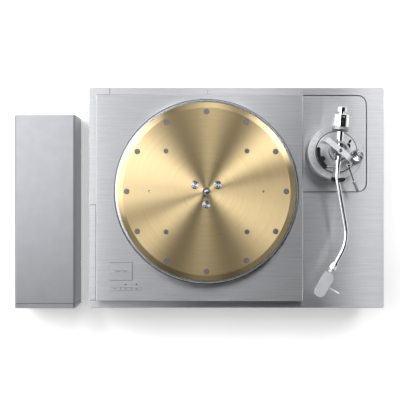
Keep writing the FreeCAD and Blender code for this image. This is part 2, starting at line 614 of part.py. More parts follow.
def lock_knob():
    """The knob that clamps the height ring, with its short pointer."""
    z0 = TURRET_TOP_Z + 0.3
    knob = turned([(0, TURRET_TOP_Z - 6), (4.0, TURRET_TOP_Z - 6), (4.0, z0), (LOCK_R, z0), (LOCK_R, 149),
                   (LOCK_R - 0.7, 149.8), (0, 149.8)])
    pointer = rounded_block(0, 12.5, -1.8, 1.8, z0, z0 + 2.4, 1.2)
    flutes = circle_of(cylinder(0.6, z0 + 2.6, 151), 12, LOCK_R + 0.1)
    knob = knob.fuse(turned_round(pointer, 62)).cut(flutes)
    return at_pivot(knob.translated(Vector(LOCK_X, LOCK_Y, 0)))


def anti_skate_dial():
    """A dial with a dark grip skirt under a spun cap."""
    z0 = TURRET_TOP_Z + 0.3
    dial = turned([(0, TURRET_TOP_Z - 4), (3.0, TURRET_TOP_Z - 4), (3.0, z0), (DIAL_R, z0),
                   (DIAL_R, z0 + 4.2), (DIAL_R - 0.7, z0 + 4.6), (DIAL_R - 0.7, z0 + 9),
                   (DIAL_R - 1.8, z0 + 10), (0, z0 + 9.4)])
    flutes = circle_of(cylinder(0.7, z0 - 1, z0 + 4.4), 24, DIAL_R + 0.15)
    return at_pivot(dial.cut(flutes).translated(Vector(DIAL_X, DIAL_Y, 0)))


def pivot_bridge():
    """The arch over the gimbal, an outline bent down into two raked legs and bored for the pivot."""
    left, right = BRIDGE_REACH
    top, foot_z = BRIDGE_TOP_Z, TURRET_TOP_Z
    t = BRIDGE_T
    outer = [(-left - 3.4, foot_z), (-left - 3.0, foot_z + 12), (-left, top - 3), (-left + 3, top),
             (right - 4, top), (right, top - 4), (right + 2.6, foot_z + 12), (right + 3.0, foot_z)]
    inner = [(right - 2.4, foot_z), (right - 2.8, foot_z + 12), (right - t, top - t - 2),
             (right - t - 2, top - t), (-left + t + 1.5, top - t), (-left + t, top - t - 2),
             (-left + t - 3.4, foot_z + 12), (-left + t - 3.8, foot_z)]
    arch = upright_plate(outer + inner, -BRIDGE_WIDTH / 2, BRIDGE_WIDTH / 2)
    boss = cylinder(5.7, top - t, top + 1.4)
    body = arch.fuse(boss).cut(cylinder(3.25, top - t - 1, top + 2))
    body = body.removeSplitter()
    return at_pivot(turned_round(body, BRIDGE_ANGLE + 180))


def pivot_screws():
    """The slotted bearing screw in the bridge and the lower pivot cup in the turret's post."""
    top = BRIDGE_TOP_Z
    upper = turned([(0, 180.2), (1.0, 180.2), (3.2, 182.0), (3.2, top + 1.6), (2.6, top + 2.0),
                    (0, top + 2.0)])
    upper = upper.cut(block(-4, 4, -0.5, 0.5, top + 0.8, top + 3))
    cup = turned([(0, 152), (4.15, 152), (4.15, 155.4), (2, 155.4), (0, 154.4)])
    return at_pivot(group([upper, cup]))


def lifter_post_place():
    angle = math.radians(205.0)
    radius = LIFTER_R - 4.5
    return radius * math.cos(angle), radius * math.sin(angle)


def arm_lifter():
    """A curved rail under the arm's path, with round ends, on a sliding post."""
    inner, outer = LIFTER_R - LIFTER_WIDTH / 2, LIFTER_R + LIFTER_WIDTH / 2
    z1 = LIFTER_TOP_Z
    z0 = z1 - 4.0
    rail = ring(inner, outer, z0, z1)
    first, last = (math.radians(a) for a in LIFTER_ANGLES)
    reach = outer * 1.6
    sector = outline_block([(0, 0)] + [(reach * math.cos(a), reach * math.sin(a))
                                       for a in (first, (first + last) / 2, last)], z0 - 1, z1 + 1)
    rail = rail.common(sector)
    ends = [cylinder(LIFTER_WIDTH / 2, z0, z1, LIFTER_R * math.cos(a), LIFTER_R * math.sin(a))
            for a in (first, last)]
    x, y = lifter_post_place()
    pad = cylinder(4.4, z0, z1 - 1.0, x, y)
    post = cylinder(2.0, TURRET_TOP_Z - 5.8, z0 + 0.5, x, y)
    return at_pivot(rail.fuse(ends + [pad, post]).removeSplitter())


def lever_direction():
    root, tip = Vector(*LEVER_ROOT), Vector(*LEVER_TIP)
    flat = Vector(tip.x - root.x, tip.y - root.y, 0)
    return flat.normalize()


def cue_axle(grow, length):
    """The lever's cross axle, level and square to the lever."""
    along = lever_direction()
    across = Vector(-along.y, along.x, 0)
    start = Vector(*LEVER_ROOT) - across * (length / 2)
    return Part.makeCylinder(1.6 + grow, length, start, across)


def cue_bearing_block():
    """Two ears on the turret that carry the lever's axle."""
    along = lever_direction()
    angle = math.degrees(math.atan2(along.y, along.x))
    x, y, z = LEVER_ROOT
    ears = []
    for side in (-1, 1):
        ear = rounded_block(-5, 4.0, 2.4 * side - (1.5 if side < 0 else -0.1),
                            2.4 * side + (1.5 if side > 0 else -0.1), TURRET_TOP_Z - 1, z + 4, 0.6)
        ears.append(turned_round(ear, angle).translated(Vector(x, y, 0)))
    return ears[0].fuse(ears[1])


def cue_lever():
    """The cueing lever: axle, thin rod with an elbow, and a soft grip."""
    axle = cue_axle(0, 7.6)
    along = lever_direction()
    hub = Part.makeCylinder(3.2, 4.2, Vector(*LEVER_ROOT) - Vector(-along.y, along.x, 0) * 2.1,
                            Vector(-along.y, along.x, 0))
    root, elbow, tip = (Vector(*p) for p in (LEVER_ROOT, LEVER_ELBOW, LEVER_TIP))
    rod_part = rod(LEVER_ROOT, LEVER_ELBOW, 1.5)
    bead = Part.makeSphere(1.5, elbow)
    run = tip - elbow
    grip_start = elbow + run * 0.02
    grip = Part.makeCylinder(3.0, run.Length * 0.98, grip_start, run)
    ends = [e for e in grip.Edges if e.Length > 15]
    grip = grip.makeFillet(0.8, [e for e in ends if e.Curve.TypeId == "Part::GeomCircle"])
    return at_pivot(axle.fuse([hub, rod_part, bead, grip]).removeSplitter())


def arm_rest():
    """A bracket from the turret out to a cradle under the arm, low on the side the arm leaves by."""
    z0, z1 = TURRET_TOP_Z, TURRET_TOP_Z + 4.5
    seat_z = ARM_Z - TUBE_R - 1.15
    near, far = REST_REACH - 3.2, REST_REACH + 3.2
    pieces = [rounded_block(22, far + 0.3, -4.0, 6.0, z0, z1, 2),
              rounded_block(near, far, -2.5, 4.5, z1 - 1, seat_z - 3, 1.0),
              rounded_block(near, far, -8.6, 12.2, seat_z - 4.5, seat_z, 1.0),
              rounded_block(near, far, 6.6, 12.2, seat_z - 2, ARM_Z + 2.0, 1.0)]
    for x in (near, far - 1.8):
        pieces.append(block(x, x + 1.8, 7.2, 12.0, ARM_Z + 1, CLAMP_PIVOT_Z + 2.5))
    whole = pieces[0].fuse(pieces[1:])
    start = Vector(REST_REACH - 5, CLAMP_PIVOT_SIDE, CLAMP_PIVOT_Z)
    pin_hole = Part.makeCylinder(1.05, 10, start, Vector(1, 0, 0))
    return at_pivot(turned_round(whole.cut(pin_hole).removeSplitter(), ARM_ANGLE))


def arm_rest_clamp():
    """The catch that folds over the tube, standing open at rest."""
    side, z = CLAMP_PIVOT_SIDE, CLAMP_PIVOT_Z
    x0, x1 = REST_REACH - 1.2, REST_REACH + 1.2
    pin = Part.makeCylinder(1.0, 6.6, Vector(REST_REACH - 3.3, side, z), Vector(1, 0, 0))
    hub = Part.makeCylinder(2.1, x1 - x0, Vector(x0, side, z), Vector(1, 0, 0))
    strap = block(x0, x1, side - 0.6, side + 1.2, z, z + CLAMP_LENGTH)
    hook = block(x0, x1, side - 4.2, side + 1.2, z + CLAMP_LENGTH - 1.8, z + CLAMP_LENGTH)
    body = pin.fuse([hub, strap, hook]).removeSplitter()
    return at_pivot(turned_round(body, ARM_ANGLE))


# Tonearm

def gimbal_ring():
    """The ring between the upright pivots, notched above the tube and below the stub for the tilt."""
    half = GIMBAL_HEIGHT / 2
    z0, z1 = ARM_Z - half, ARM_Z + half
    inner = GIMBAL_R - GIMBAL_WALL
    body = turned([(inner, z0), (GIMBAL_R - 0.6, z0), (GIMBAL_R, z0 + 0.6), (GIMBAL_R, z1 - 0.6),
                   (GIMBAL_R - 0.6, z1), (inner, z1)])
    front_notch = block(8, 25, -6.6, 6.6, ARM_Z - 6.2, z1 + 1)
    rear_notch = block(-25, -8, -7.3, 7.3, z0 - 1, ARM_Z + 6.6)
    body = body.cut([front_notch, rear_notch])
    upper = block(-3.2, 3.2, -inner - 1, inner + 1, z1 - 1.8, z1 + 1.0)
    upper = upper.fuse(turned([(0, z1 - 1), (5, z1 - 1), (5, z1 + 2.4), (2.4, z1 + 4.0), (1.2, z1 + 4.0),
                               (0, z1 + 3.6)]))
    lower = block(-3.2, 3.2, -inner - 1, inner + 1, z0 - 0.4, z0 + 1.8)
    lower = lower.fuse(turned([(0, z0 - 4.2), (1.2, z0 - 4.2), (3.2, z0 - 2.6), (3.2, z0), (0, z0)]))
    screws = []
    holes = []
    for side in (-1, 1):
        screw_start = Vector(0, side * (inner - 3.2), ARM_Z)
        screws.append(Part.makeCylinder(2.2, 7.6, screw_start, Vector(0, side, 0)))
        hole_start = Vector(0, side * (inner - 4.0), ARM_Z)
        holes.append(Part.makeCylinder(1.55, 4.0, hole_start, Vector(0, side, 0)))
    body = body.fuse([upper, lower] + screws).cut(holes).removeSplitter()
    return at_pivot(turned_round(body, ARM_ANGLE))


def arm_path():
    """Corner points of the arm's centre line from the pivot, with the bend radius at each."""
    points = [Vector(0, 0, 0)]
    heading = 0.0
    for straight, bend in ((FIRST_STRAIGHT, FIRST_BEND), (MIDDLE_STRAIGHT, SECOND_BEND), (END_STRAIGHT, 0.0)):
        step = Vector(math.cos(math.radians(heading)), math.sin(math.radians(heading)), 0)
        points.append(points[-1] + step * straight)
        heading += bend
    return points


def bend_points(before, corner, after, radius):
    """Where one bend starts and ends on the two straights, and the point it turns about."""
    back, ahead = (before - corner).normalize(), (after - corner).normalize()
    half = math.acos(back.dot(ahead)) / 2
    tangent = radius / math.tan(half)
    centre = corner + (back + ahead).normalize() * (radius / math.sin(half))
    return corner + back * tangent, corner + ahead * tangent, centre


def bent_piece(start, heading, centre, degrees):
    """The part of the tube that turns about a centre in the arm's own plane."""
    section = Part.Face(Part.Wire([Part.makeCircle(TUBE_R, start, heading)]))
    return section.revolve(centre, Vector(0, 0, 1), degrees)


def arm_tube():
    """The bent tube: a thicker root, then three straights joined by two bends in one plane."""
    p0, p1, p2, p3 = arm_path()
    root_end = Vector(TUBE_ROOT_START, 0, 0)
    b1_start, b1_end, b1_centre = bend_points(p0, p1, p2, FIRST_BEND_R)
    b2_start, b2_end, b2_centre = bend_points(p1, p2, p3, SECOND_BEND_R)
    pieces = [rod(root_end, b1_start, TUBE_R),
              bent_piece(b1_start, p1 - p0, b1_centre, FIRST_BEND),
              rod(b1_end, b2_start, TUBE_R),
              bent_piece(b2_start, p2 - p1, b2_centre, SECOND_BEND),
              rod(b2_end, p3, TUBE_R)]
    root = lengthwise([(TUBE_ROOT_START, 0), (TUBE_ROOT_START, TUBE_ROOT_R), (TUBE_ROOT_END - 3, TUBE_ROOT_R),
                       (TUBE_ROOT_END, TUBE_R - 0.4), (TUBE_ROOT_END, 0)])
    return on_arm(root.fuse(pieces).removeSplitter())


def arm_end():
    """Where the tube ends and its heading there, both in the arm's own plan."""
    points = arm_path()
    return points[-1], ARM_ANGLE + FIRST_BEND + SECOND_BEND


def on_arm_end(piece):
    """A piece made along +X from the tube's end, set in line with the tube there."""
    end, heading = arm_end()
    place = turned_round(Part.Vertex(end), ARM_ANGLE).Point
    return on_arm(piece, heading, place.x, place.y)


def rear_shaft():
    """The pivot block with its side pins, the grooved rear stub and the thin neck behind it."""
    block_part = rounded_block(-8, 8, -6.6, 6.6, -5.0, 5.0, 1.2)
    pins = Part.makeCylinder(1.5, 23.0, Vector(0, -11.5, 0), Vector(0, 1, 0))
    groove_r = STUB_R - 0.7
    stub = lengthwise([(-8.0, 0), (-8.0, STUB_R), (-17.4, STUB_R), (-17.4, groove_r), (-18.6, groove_r),
                       (-18.6, STUB_R), (-STUB_END + 0.5, STUB_R), (-STUB_END, STUB_R - 0.5),
                       (-STUB_END, NECK_R), (-NECK_END, NECK_R), (-NECK_END, 0)])
    return on_arm(block_part.fuse([pins, stub]).removeSplitter())


def counterweight_sleeve():
    start, end = FORCE_RING[1], COUNTERWEIGHT[2]
    inner = STUB_R + 0.05
    return on_arm(lengthwise([(-start - 0.4, inner), (-start - 0.4, SLEEVE_R), (-end + 0.4, SLEEVE_R),
                              (-end + 0.4, inner)]))


def counterweight():
    """The main weight, bored for its sleeve, with one grip groove and broken edges."""
    radius, start, end = COUNTERWEIGHT
    bore = SLEEVE_R + 0.05
    return on_arm(lengthwise([(-start, bore), (-start, radius - 0.8), (-start - 0.8, radius),
                              (-end + 4.6, radius), (-end + 4.4, radius - 0.5), (-end + 3.8, radius - 0.5),
                              (-end + 3.6, radius), (-end + 0.8, radius), (-end, radius - 0.8),
                              (-end, bore)]))


def tracking_force_ring():
    """The numbered ring in front of the weight, with a bevelled scale band."""
    radius, start, end = FORCE_RING
    bore = SLEEVE_R + 0.05
    return on_arm(lengthwise([(-start, bore), (-start, radius - 2.2), (-start - 2.4, radius - 0.3),
                              (-start - 3.0, radius), (-end + 0.6, radius), (-end, radius - 0.6),
                              (-end, bore)]))


def auxiliary_weight():
    radius, start, end = AUXILIARY
    bore = NECK_R + 0.03
    return on_arm(lengthwise([(-start, bore), (-start, radius - 0.6), (-start - 0.6, radius),
                              (-end + 0.6, radius), (-end, radius - 0.6), (-end, 0), (-NECK_END - 0.2, 0),
                              (-NECK_END - 0.2, bore)]))


def locking_collar():
    """The knurled nut that draws the headshell on to the tube."""
    bore = TUBE_R + 0.12
    nut = lengthwise([(-1.5, bore), (-1.5, COLLAR_R - 1.2), (0, COLLAR_R - 0.4), (3.4, COLLAR_R - 0.4),
                      (3.8, COLLAR_R), (COLLAR_LENGTH - 3.2, COLLAR_R), (COLLAR_LENGTH - 2.6, COLLAR_R - 0.7),
                      (COLLAR_LENGTH - 1.7, COLLAR_R - 0.7), (COLLAR_LENGTH - 1.7, bore)])
    flutes = []
    for i in range(18):
        flute = Part.makeCylinder(0.5, 7.2, Vector(3.9, 0, COLLAR_R + 0.1), Vector(1, 0, 0))
        matrix = Matrix()
        matrix.rotateX(math.radians(20 * i))
        flutes.append(flute.transformed(matrix))
    nut = nut.cut(flutes)
    return on_arm_end(nut)


def headshell():
    """A milled shell: stepped shoulders, chamfered nose, raised rails below and two cartridge slots."""
    half, neck = SHELL_WIDTH / 2, SHELL_NECK_WIDTH / 2
    x0, x1 = SHELL_START, SHELL_START + SHELL_LENGTH
    top, bottom = SHELL_TOP, SHELL_TOP - SHELL_T
    side = [(x0, 4.2), (x0 + 3, neck), (x0 + 7.5, neck), (x0 + 9.0, half), (x1 - 8, half), (x1, half - 5.4)]
    outline = [(x, -y) for x, y in side] + side[::-1]
    body = outline_block(outline, bottom, top)
    body = body.makeChamfer(0.5, edges_at(body, top))
    plug_r = TUBE_R - 0.6
    plug = lengthwise([(0.3, 0), (0.3, plug_r), (x0 - 0.3, plug_r), (x0 - 0.3, 5.2), (x0 + 4.5, 5.2),
                       (x0 + 4.5, 0)])
    socket = plug.common(block(-2, x0 + 6, -8, 8, -6, top - 0.1))
    rails = []
    slots = [block(x0 + 12, x1 - 4, -3.2, 3.2, bottom - 5, bottom + 1.2)]
    for way in (-1, 1):
        rail_y = way * (half - 1.1)
        rails.append(block(x0 + 9, x1 - 9, rail_y - 0.9, rail_y + 0.9, bottom - 3.6, bottom + 0.5))
        slot_y = way * CARTRIDGE_SPACING / 2
        slots.append(rounded_block(x0 + 22, x1 - 6, slot_y - 1.3, slot_y + 1.3, bottom - 5, bottom + 1.6,
                                   1.2))
    body = body.fuse([socket] + rails).cut(slots).removeSplitter()
    return on_arm_end(body)


def finger_lift():
    """The thin finger lift that springs from the shell's side and curls up at its tip."""
    x0 = SHELL_START + 27.0
    root = SHELL_WIDTH / 2 + 0.05
    tip = SHELL_WIDTH / 2 + LIFT_REACH
    points = [(root, 1.2), (tip - 9, 1.2), (tip - 3, 3.2), (tip, 5.6), (tip - 0.4, 7.0), (tip - 4, 4.8),
              (tip - 9.4, 2.8), (root, 2.8)]
    corners = [Vector(x0, y, z) for y, z in points]
    lift = Part.Face(Part.makePolygon(corners + corners[:1])).extrude(Vector(2.6, 0, 0))
    return on_arm_end(lift)


# Connections in the plinth's rear recess

def round_socket(x, y, z):
    """A round multi-pole socket that faces the back, its pins short of the mouth."""
    back = Vector(0, 1, 0)
    shell = Part.makeCylinder(8.9, 9.0, Vector(x, y - 8, z), back)
    shell = shell.cut(Part.makeCylinder(7.4, 6.5, Vector(x, y - 5, z), back))
    pins = []
    for i in range(6):
        angle = math.radians(60 * i)
        place = Vector(x + 4.4 * math.cos(angle), y - 5.5, z + 4.4 * math.sin(angle))
        pins.append(Part.makeCylinder(0.8, 2.0, place, back))
    return shell.fuse(pins)


def terminal_panel():
    """The phono and earth terminals in one rear recess, and the control socket in the other."""
    x0, x1, depth = TERMINAL_RECESS
    back = Vector(0, 1, 0)
    y1 = PLINTH_REAR - depth + 3
    z0, z1 = PLINTH_BASE_Z + 3, TOP_PLATE_Z - 0.3
    z_mid = (CORE_Z + TOP_PLATE_Z) / 2
    parts = [block(x0 + 0.5, x1 - 0.5, y1 - 3, y1, z0, z1)]
    for x in (x0 + 16, x0 + 36):
        nut = Part.makeCylinder(7.0, 3.0, Vector(x, y1, z_mid), back)
        barrel = Part.makeCylinder(4.15, 13.0, Vector(x, y1, z_mid), back)
        parts.append(nut.fuse(barrel).cut(Part.makeCylinder(1.6, 11.0, Vector(x, y1 + 3, z_mid), back)))
    post = Part.makeCylinder(2.0, 14.0, Vector(x0 + 58, y1, z_mid), back)
    cap = Part.makeCylinder(5.0, 8.0, Vector(x0 + 58, y1 + 5, z_mid), back)
    parts.append(post.fuse(cap).removeSplitter())
    x0, x1, depth = SOCKET_RECESS
    y1 = PLINTH_REAR - depth + 2
    plate = block(x0 + 0.5, x1 - 0.5, y1 - 2, y1, z0, z1)
    x = (x0 + x1) / 2
    socket = round_socket(x, y1 + 8, z_mid)
    parts += [plate, socket]
    return group(parts)


# Control unit

def control_cover():
    """The folded outer shell: top and two sides with bevelled shoulders, open at both ends and below."""
    w = UNIT_WALL
    c = UNIT_CHAMFER
    z0, z1 = UNIT_BASE_Z, UNIT_TOP_Z
    x0, x1 = UNIT_LEFT, UNIT_RIGHT
    k = w * math.tan(math.radians(22.5))
    outer = [(x0, z0), (x0, z1 - c), (x0 + c, z1), (x1 - c, z1), (x1, z1 - c), (x1, z0)]
    inner = [(x1 - w, z0), (x1 - w, z1 - c - k), (x1 - c - k, z1 - w), (x0 + c + k, z1 - w),
             (x0 + w, z1 - c - k), (x0 + w, z0)]
    y0 = UNIT_FRONT + FACE_T + FACE_GROOVE
    shell = upright_plate(outer + inner, y0, UNIT_REAR)
    return shell.cut(side_screw_holes())


def side_screw_places():
    return [(y, UNIT_BASE_Z + 8.0) for y in (UNIT_FRONT + 76.0, UNIT_FRONT + 285.5)]


def side_screw_holes():
    holes = []
    for y, z in side_screw_places():
        holes.append(Part.makeCylinder(2.05, UNIT_WIDTH + 4, Vector(UNIT_LEFT - 2, y, z), Vector(1, 0, 0)))
    return holes


def case_screws():
    """Domed screws that hold the cover to the tray, two on each side."""
    profile = [(-CASE_SHANK, 0), (-CASE_SHANK, 2.0), (0, 2.0), (0, SIDE_SCREW_R), (0.6, SIDE_SCREW_R - 0.3),
               (1.2, SIDE_SCREW_R - 1.1), (1.6, SIDE_SCREW_R - 2.0), (SIDE_SCREW_PROUD, 0)]
    screw = lengthwise(profile)
    screws = []
    for y, z in side_screw_places():
        screws.append(turned_round(screw, 180).translated(Vector(UNIT_LEFT, y, z)))
        screws.append(screw.translated(Vector(UNIT_RIGHT, y, z)))
    return group(screws)


def control_tray():
    """The folded tray: floor, two low flanges for the screws and the rear wall with its cut-outs."""
    w = UNIT_WALL
    x0, x1 = UNIT_LEFT + w + 0.1, UNIT_RIGHT - w - 0.1
    y0, y1 = UNIT_FRONT + FACE_T + FACE_GROOVE + 0.1, UNIT_REAR - 2.0
    z0 = UNIT_BASE_Z
    floor = block(x0, x1, y0, y1, z0, z0 + 2)
    flanges = [block(x0, x0 + 2, y0, y1, z0, z0 + 15), block(x1 - 2, x1, y0, y1, z0, z0 + 15)]
    top, bevel = UNIT_TOP_Z - w - 0.4, UNIT_CHAMFER + 0.2
    outline = [(x0, z0), (x0, top - bevel), (x0 + bevel, top), (x1 - bevel, top), (x1, top - bevel),
               (x1, z0)]
    rear = upright_plate(outline, y1 - 2, y1)
    body = floor.fuse(flanges + [rear])
    tools = side_screw_holes()
    tools += [block(UNIT_LEFT + 16, UNIT_LEFT + 44, y1 - 4, y1 + 1, 30, 50)]
    tools += [Part.makeCylinder(9.0, 6.0, Vector(UNIT_LEFT + 64, y1 - 4, 40), Vector(0, 1, 0))]
    tools += [Part.makeCylinder(2.05, 6.0, Vector(UNIT_LEFT + 86, y1 - 4, 40), Vector(0, 1, 0))]
    return body.cut(tools).removeSplitter()


def rear_sockets():
    """Mains inlet, round multi-pole socket and earth post of the control unit."""
    y1 = UNIT_REAR - 2.0
    x = UNIT_LEFT
    inlet = rounded_block(x + 16.1, x + 43.9, y1 - 18, y1 + 1.0, 30.1, 49.9, 1.0)
    cavity = block(x + 18.5, x + 41.5, y1 - 14, y1 + 2, 33, 47)
    blades = [block(x + 30 + dx - 1, x + 30 + dx + 1, y1 - 16, y1 - 9, 40 + dz - 2, 40 + dz + 2)
              for dx, dz in ((-7, -1), (0, 3), (7, -1))]
    inlet = inlet.cut(cavity).fuse(blades)
    socket = round_socket(x + 64, y1, 40)
    post = Part.makeCylinder(2.0, 7.0, Vector(x + 86, y1 - 5, 40), Vector(0, 1, 0))
    cap = Part.makeCylinder(4.5, 5.0, Vector(x + 86, y1 + 0.1, 40), Vector(0, 1, 0))
    return group([inlet, socket, post.fuse(cap).removeSplitter()])


def control_front_panel():
    """The thick front plate with openings for window, power button and pitch key."""
    x0, x1 = UNIT_LEFT, UNIT_RIGHT
    y0, y1 = UNIT_FRONT, UNIT_FRONT + FACE_T
    c = UNIT_CHAMFER
    outline = [(x0, UNIT_BASE_Z), (x0, UNIT_TOP_Z - c), (x0 + c, UNIT_TOP_Z), (x1 - c, UNIT_TOP_Z),
               (x1, UNIT_TOP_Z - c), (x1, UNIT_BASE_Z)]
    body = upright_plate(outline, y0, y1)
    front = [e for e in body.Edges if abs(e.BoundBox.YMax - y0) < 1e-6]
    body = body.makeChamfer(0.7, front)
    power_place = Vector(x0 + POWER_X, y0 - 1, CONTROLS_Z)
    tools = [Part.makeCylinder(POWER_R + 0.3, FACE_T + 2, power_place, Vector(0, 1, 0))]
    for area in (WINDOW, PITCH_KEY):
        tools.append(block(x0 + area[0], x0 + area[1], y0 - 1, y1 + 1, area[2], area[3]))
    return body.cut(tools)


def display_window():
    x0, x1, z0, z1 = WINDOW
    y0 = UNIT_FRONT + 1.0
    pane = block(UNIT_LEFT + x0 + 0.15, UNIT_LEFT + x1 - 0.15, y0, y0 + 2.0, z0 + 0.15, z1 - 0.15)
    return pane


def power_button():
    x, y0, z = UNIT_LEFT + POWER_X, UNIT_FRONT, CONTROLS_Z
    cap = Part.makeCylinder(POWER_R, 9.5, Vector(x, y0 + 0.4, z), Vector(0, 1, 0))
    front = [e for e in cap.Edges if abs(e.BoundBox.YMax - (y0 + 0.4)) < 1e-6]
    cap = cap.makeChamfer(0.6, front)
    flange = Part.makeCylinder(POWER_R + 1.6, 1.6, Vector(x, y0 + FACE_T + 0.3, z), Vector(0, 1, 0))
    stem = Part.makeCylinder(2.0, 8.0, Vector(x, y0 + 9.0, z), Vector(0, 1, 0))
    return cap.fuse([flange, stem]).removeSplitter()


def pitch_key():
    """A rocker key, pressed at either end to step the speed up or down."""
    x0, x1, z0, z1 = PITCH_KEY
    x0, x1 = UNIT_LEFT + x0 + 0.4, UNIT_LEFT + x1 - 0.4
    mid = (x0 + x1) / 2
    y0 = UNIT_FRONT + 0.6
    points = [(x0, y0 + 0.2), (mid, y0 + 0.9), (x1, y0 + 0.2), (x1, y0 + 5.0), (mid, y0 + 8.0),
              (x0, y0 + 5.0)]
    return outline_block(points, z0 + 0.3, z1 - 0.3)


def control_circuit():
    """The supply board on its posts and the ring transformer in front of the rear wall."""
    x0, x1 = UNIT_LEFT + 12, UNIT_RIGHT - 12
    z0 = UNIT_BASE_Z + 2
    board = block(x0, x1, UNIT_FRONT + 30, UNIT_FRONT + 205, z0 + 8, z0 + 9.6)
    posts = [cylinder(3, z0, z0 + 8.4, x, y) for x in (x0 + 6, x1 - 6)
             for y in (UNIT_FRONT + 36, UNIT_FRONT + 199)]
    sinks = [block(x0 + 6, x0 + 9, UNIT_FRONT + 60 + 30 * i, UNIT_FRONT + 82 + 30 * i, z0 + 9, z0 + 42)
             for i in range(4)]
    caps = [cylinder(9, z0 + 9, z0 + 40, x1 - 18, UNIT_FRONT + 66 + 26 * i) for i in range(4)]
    board = board.fuse(posts + sinks + caps).removeSplitter()
    cx, cy = (UNIT_LEFT + UNIT_RIGHT) / 2, UNIT_FRONT + 262
    coil = Part.makeTorus(27, 15, Vector(cx, cy, z0 + 17.2))
    coil = coil.common(cylinder(60, z0 + 2, z0 + 32.4, cx, cy))
    clamp = cylinder(5, z0, z0 + 37, cx, cy).fuse(cylinder(20, z0 + 32.5, z0 + 35, cx, cy))
    return group([board, coil, clamp.fuse(cylinder(24, z0, z0 + 2, cx, cy)).removeSplitter()])


def control_feet():
    feet = []
    for x in (UNIT_LEFT + 16, UNIT_RIGHT - 16):
        for y in (UNIT_FRONT + 28, UNIT_REAR - 28):
            feet.append(turned([(0, 0), (9, 0), (10, 1), (10, UNIT_BASE_Z), (0, UNIT_BASE_Z)], x, y))
    return group(feet)


NODES = {
    "plinth_top_plate": plinth_top_plate,
    "plinth_core": plinth_core,
    "plinth_bottom_plate": plinth_bottom_plate,
    "arm_station_covers": arm_station_covers,
    "motor_panel": motor_panel,
    "motor_chassis": motor_chassis,
    "stator": stator,
    "bearing_housing": bearing_housing,
    "bearing_bushes": bearing_bushes,
    "switch_board": switch_board,
    "start_stop_button": start_stop_button,
    "indicator_lenses": indicator_lenses,
    "platter_body": platter_body,
    "brass_plate": brass_plate,
    "damping_rubber": damping_rubber,
    "tungsten_weights": tungsten_weights,
    "plate_screws": plate_screws,
    "platter_fixing_screws": platter_fixing_screws,
    "rotor_yoke": rotor_yoke,
    "rotor_magnets": rotor_magnets,
    "spindle_shaft": spindle_shaft,
    "arm_base_plate": arm_base_plate,
    "height_ring": height_ring,
    "arm_turret": arm_turret,
    "lock_knob": lock_knob,
    "anti_skate_dial": anti_skate_dial,
    "pivot_bridge": pivot_bridge,
    "pivot_screws": pivot_screws,
    "arm_lifter": arm_lifter,
    "cue_lever": cue_lever,
    "arm_rest": arm_rest,
    "arm_rest_clamp": arm_rest_clamp,
    "gimbal_ring": gimbal_ring,
    "arm_tube": arm_tube,
    "rear_shaft": rear_shaft,
    "counterweight_sleeve": counterweight_sleeve,
    "counterweight": counterweight,
    "tracking_force_ring": tracking_force_ring,
    "auxiliary_weight": auxiliary_weight,
    "locking_collar": locking_collar,
    "headshell": headshell,
    "finger_lift": finger_lift,
    "terminal_panel": terminal_panel,
    "control_cover": control_cover,
    "case_screws": case_screws,
    "control_tray": control_tray,
    "rear_sockets": rear_sockets,
    "control_front_panel": control_front_panel,
    "display_window": display_window,
    "power_button": power_button,
    "pitch_key": pitch_key,
    "control_circuit": control_circuit,
    "control_feet": control_feet,
}


def save(name, shape):
    placed = shape.translated(Vector(-SET_CENTRE_X, -SET_CENTRE_Y, 0))
    if not placed.isValid():
        print("not valid:", name)
    placed.exportStep(os.path.join("parts", name + ".step"))
    box = placed.BoundBox
    print(f"{name:24s} solids {len(placed.Solids):2d} x {box.XMin:7.1f} {box.XMax:7.1f} "
          f"y {box.YMin:7.1f} {box.YMax:7.1f} z {box.ZMin:6.1f} {box.ZMax:6.1f}")


def build():
    os.makedirs("parts", exist_ok=True)
    for name, make in NODES.items():
        save(name, make())
    for index, name in enumerate(KEY_NAMES):
        save(name, speed_key(index))
    for name, (x, y) in foot_places().items():
        save(name, foot(x, y))


build()
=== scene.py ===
import json
import math

import bmesh
import bpy
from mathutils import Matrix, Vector


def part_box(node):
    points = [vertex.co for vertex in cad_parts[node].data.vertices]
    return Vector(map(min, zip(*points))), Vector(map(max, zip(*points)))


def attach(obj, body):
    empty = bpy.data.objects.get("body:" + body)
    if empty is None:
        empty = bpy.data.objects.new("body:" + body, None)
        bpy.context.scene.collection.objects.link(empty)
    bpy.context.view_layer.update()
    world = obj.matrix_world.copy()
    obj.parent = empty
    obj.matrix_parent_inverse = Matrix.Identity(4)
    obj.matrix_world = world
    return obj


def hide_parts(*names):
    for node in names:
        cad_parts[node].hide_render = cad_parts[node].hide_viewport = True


# Looks for the turntable and its control unit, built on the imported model. The source's own
# millimetres, measured from the platter's axis and the surface below, turn into the frame's metres
# in place(), so a detail here goes by the same numbers as the solid that carries it.

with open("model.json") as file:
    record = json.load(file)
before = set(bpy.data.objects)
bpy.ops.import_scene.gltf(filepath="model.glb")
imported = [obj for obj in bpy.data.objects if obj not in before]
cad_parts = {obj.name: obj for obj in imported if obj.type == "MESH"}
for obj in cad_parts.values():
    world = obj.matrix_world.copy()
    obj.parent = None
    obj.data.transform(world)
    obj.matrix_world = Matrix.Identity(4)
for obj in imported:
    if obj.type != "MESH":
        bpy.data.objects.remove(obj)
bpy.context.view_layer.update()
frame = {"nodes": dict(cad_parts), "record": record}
nodes = frame["nodes"]

# Where the source's zero stands in the frame, the arm's pivot, and the height of the arm's axis.
SET_X, SET_Y = 15.6, 12.4
PIVOT_X, PIVOT_Y, ARM_Z = 226.2, 68.9, 168.0
# The arm's heading at rest, in degrees, and the top of the height ring.
ARM_ANGLE = -94.1
RING_TOP_Z = 138.0

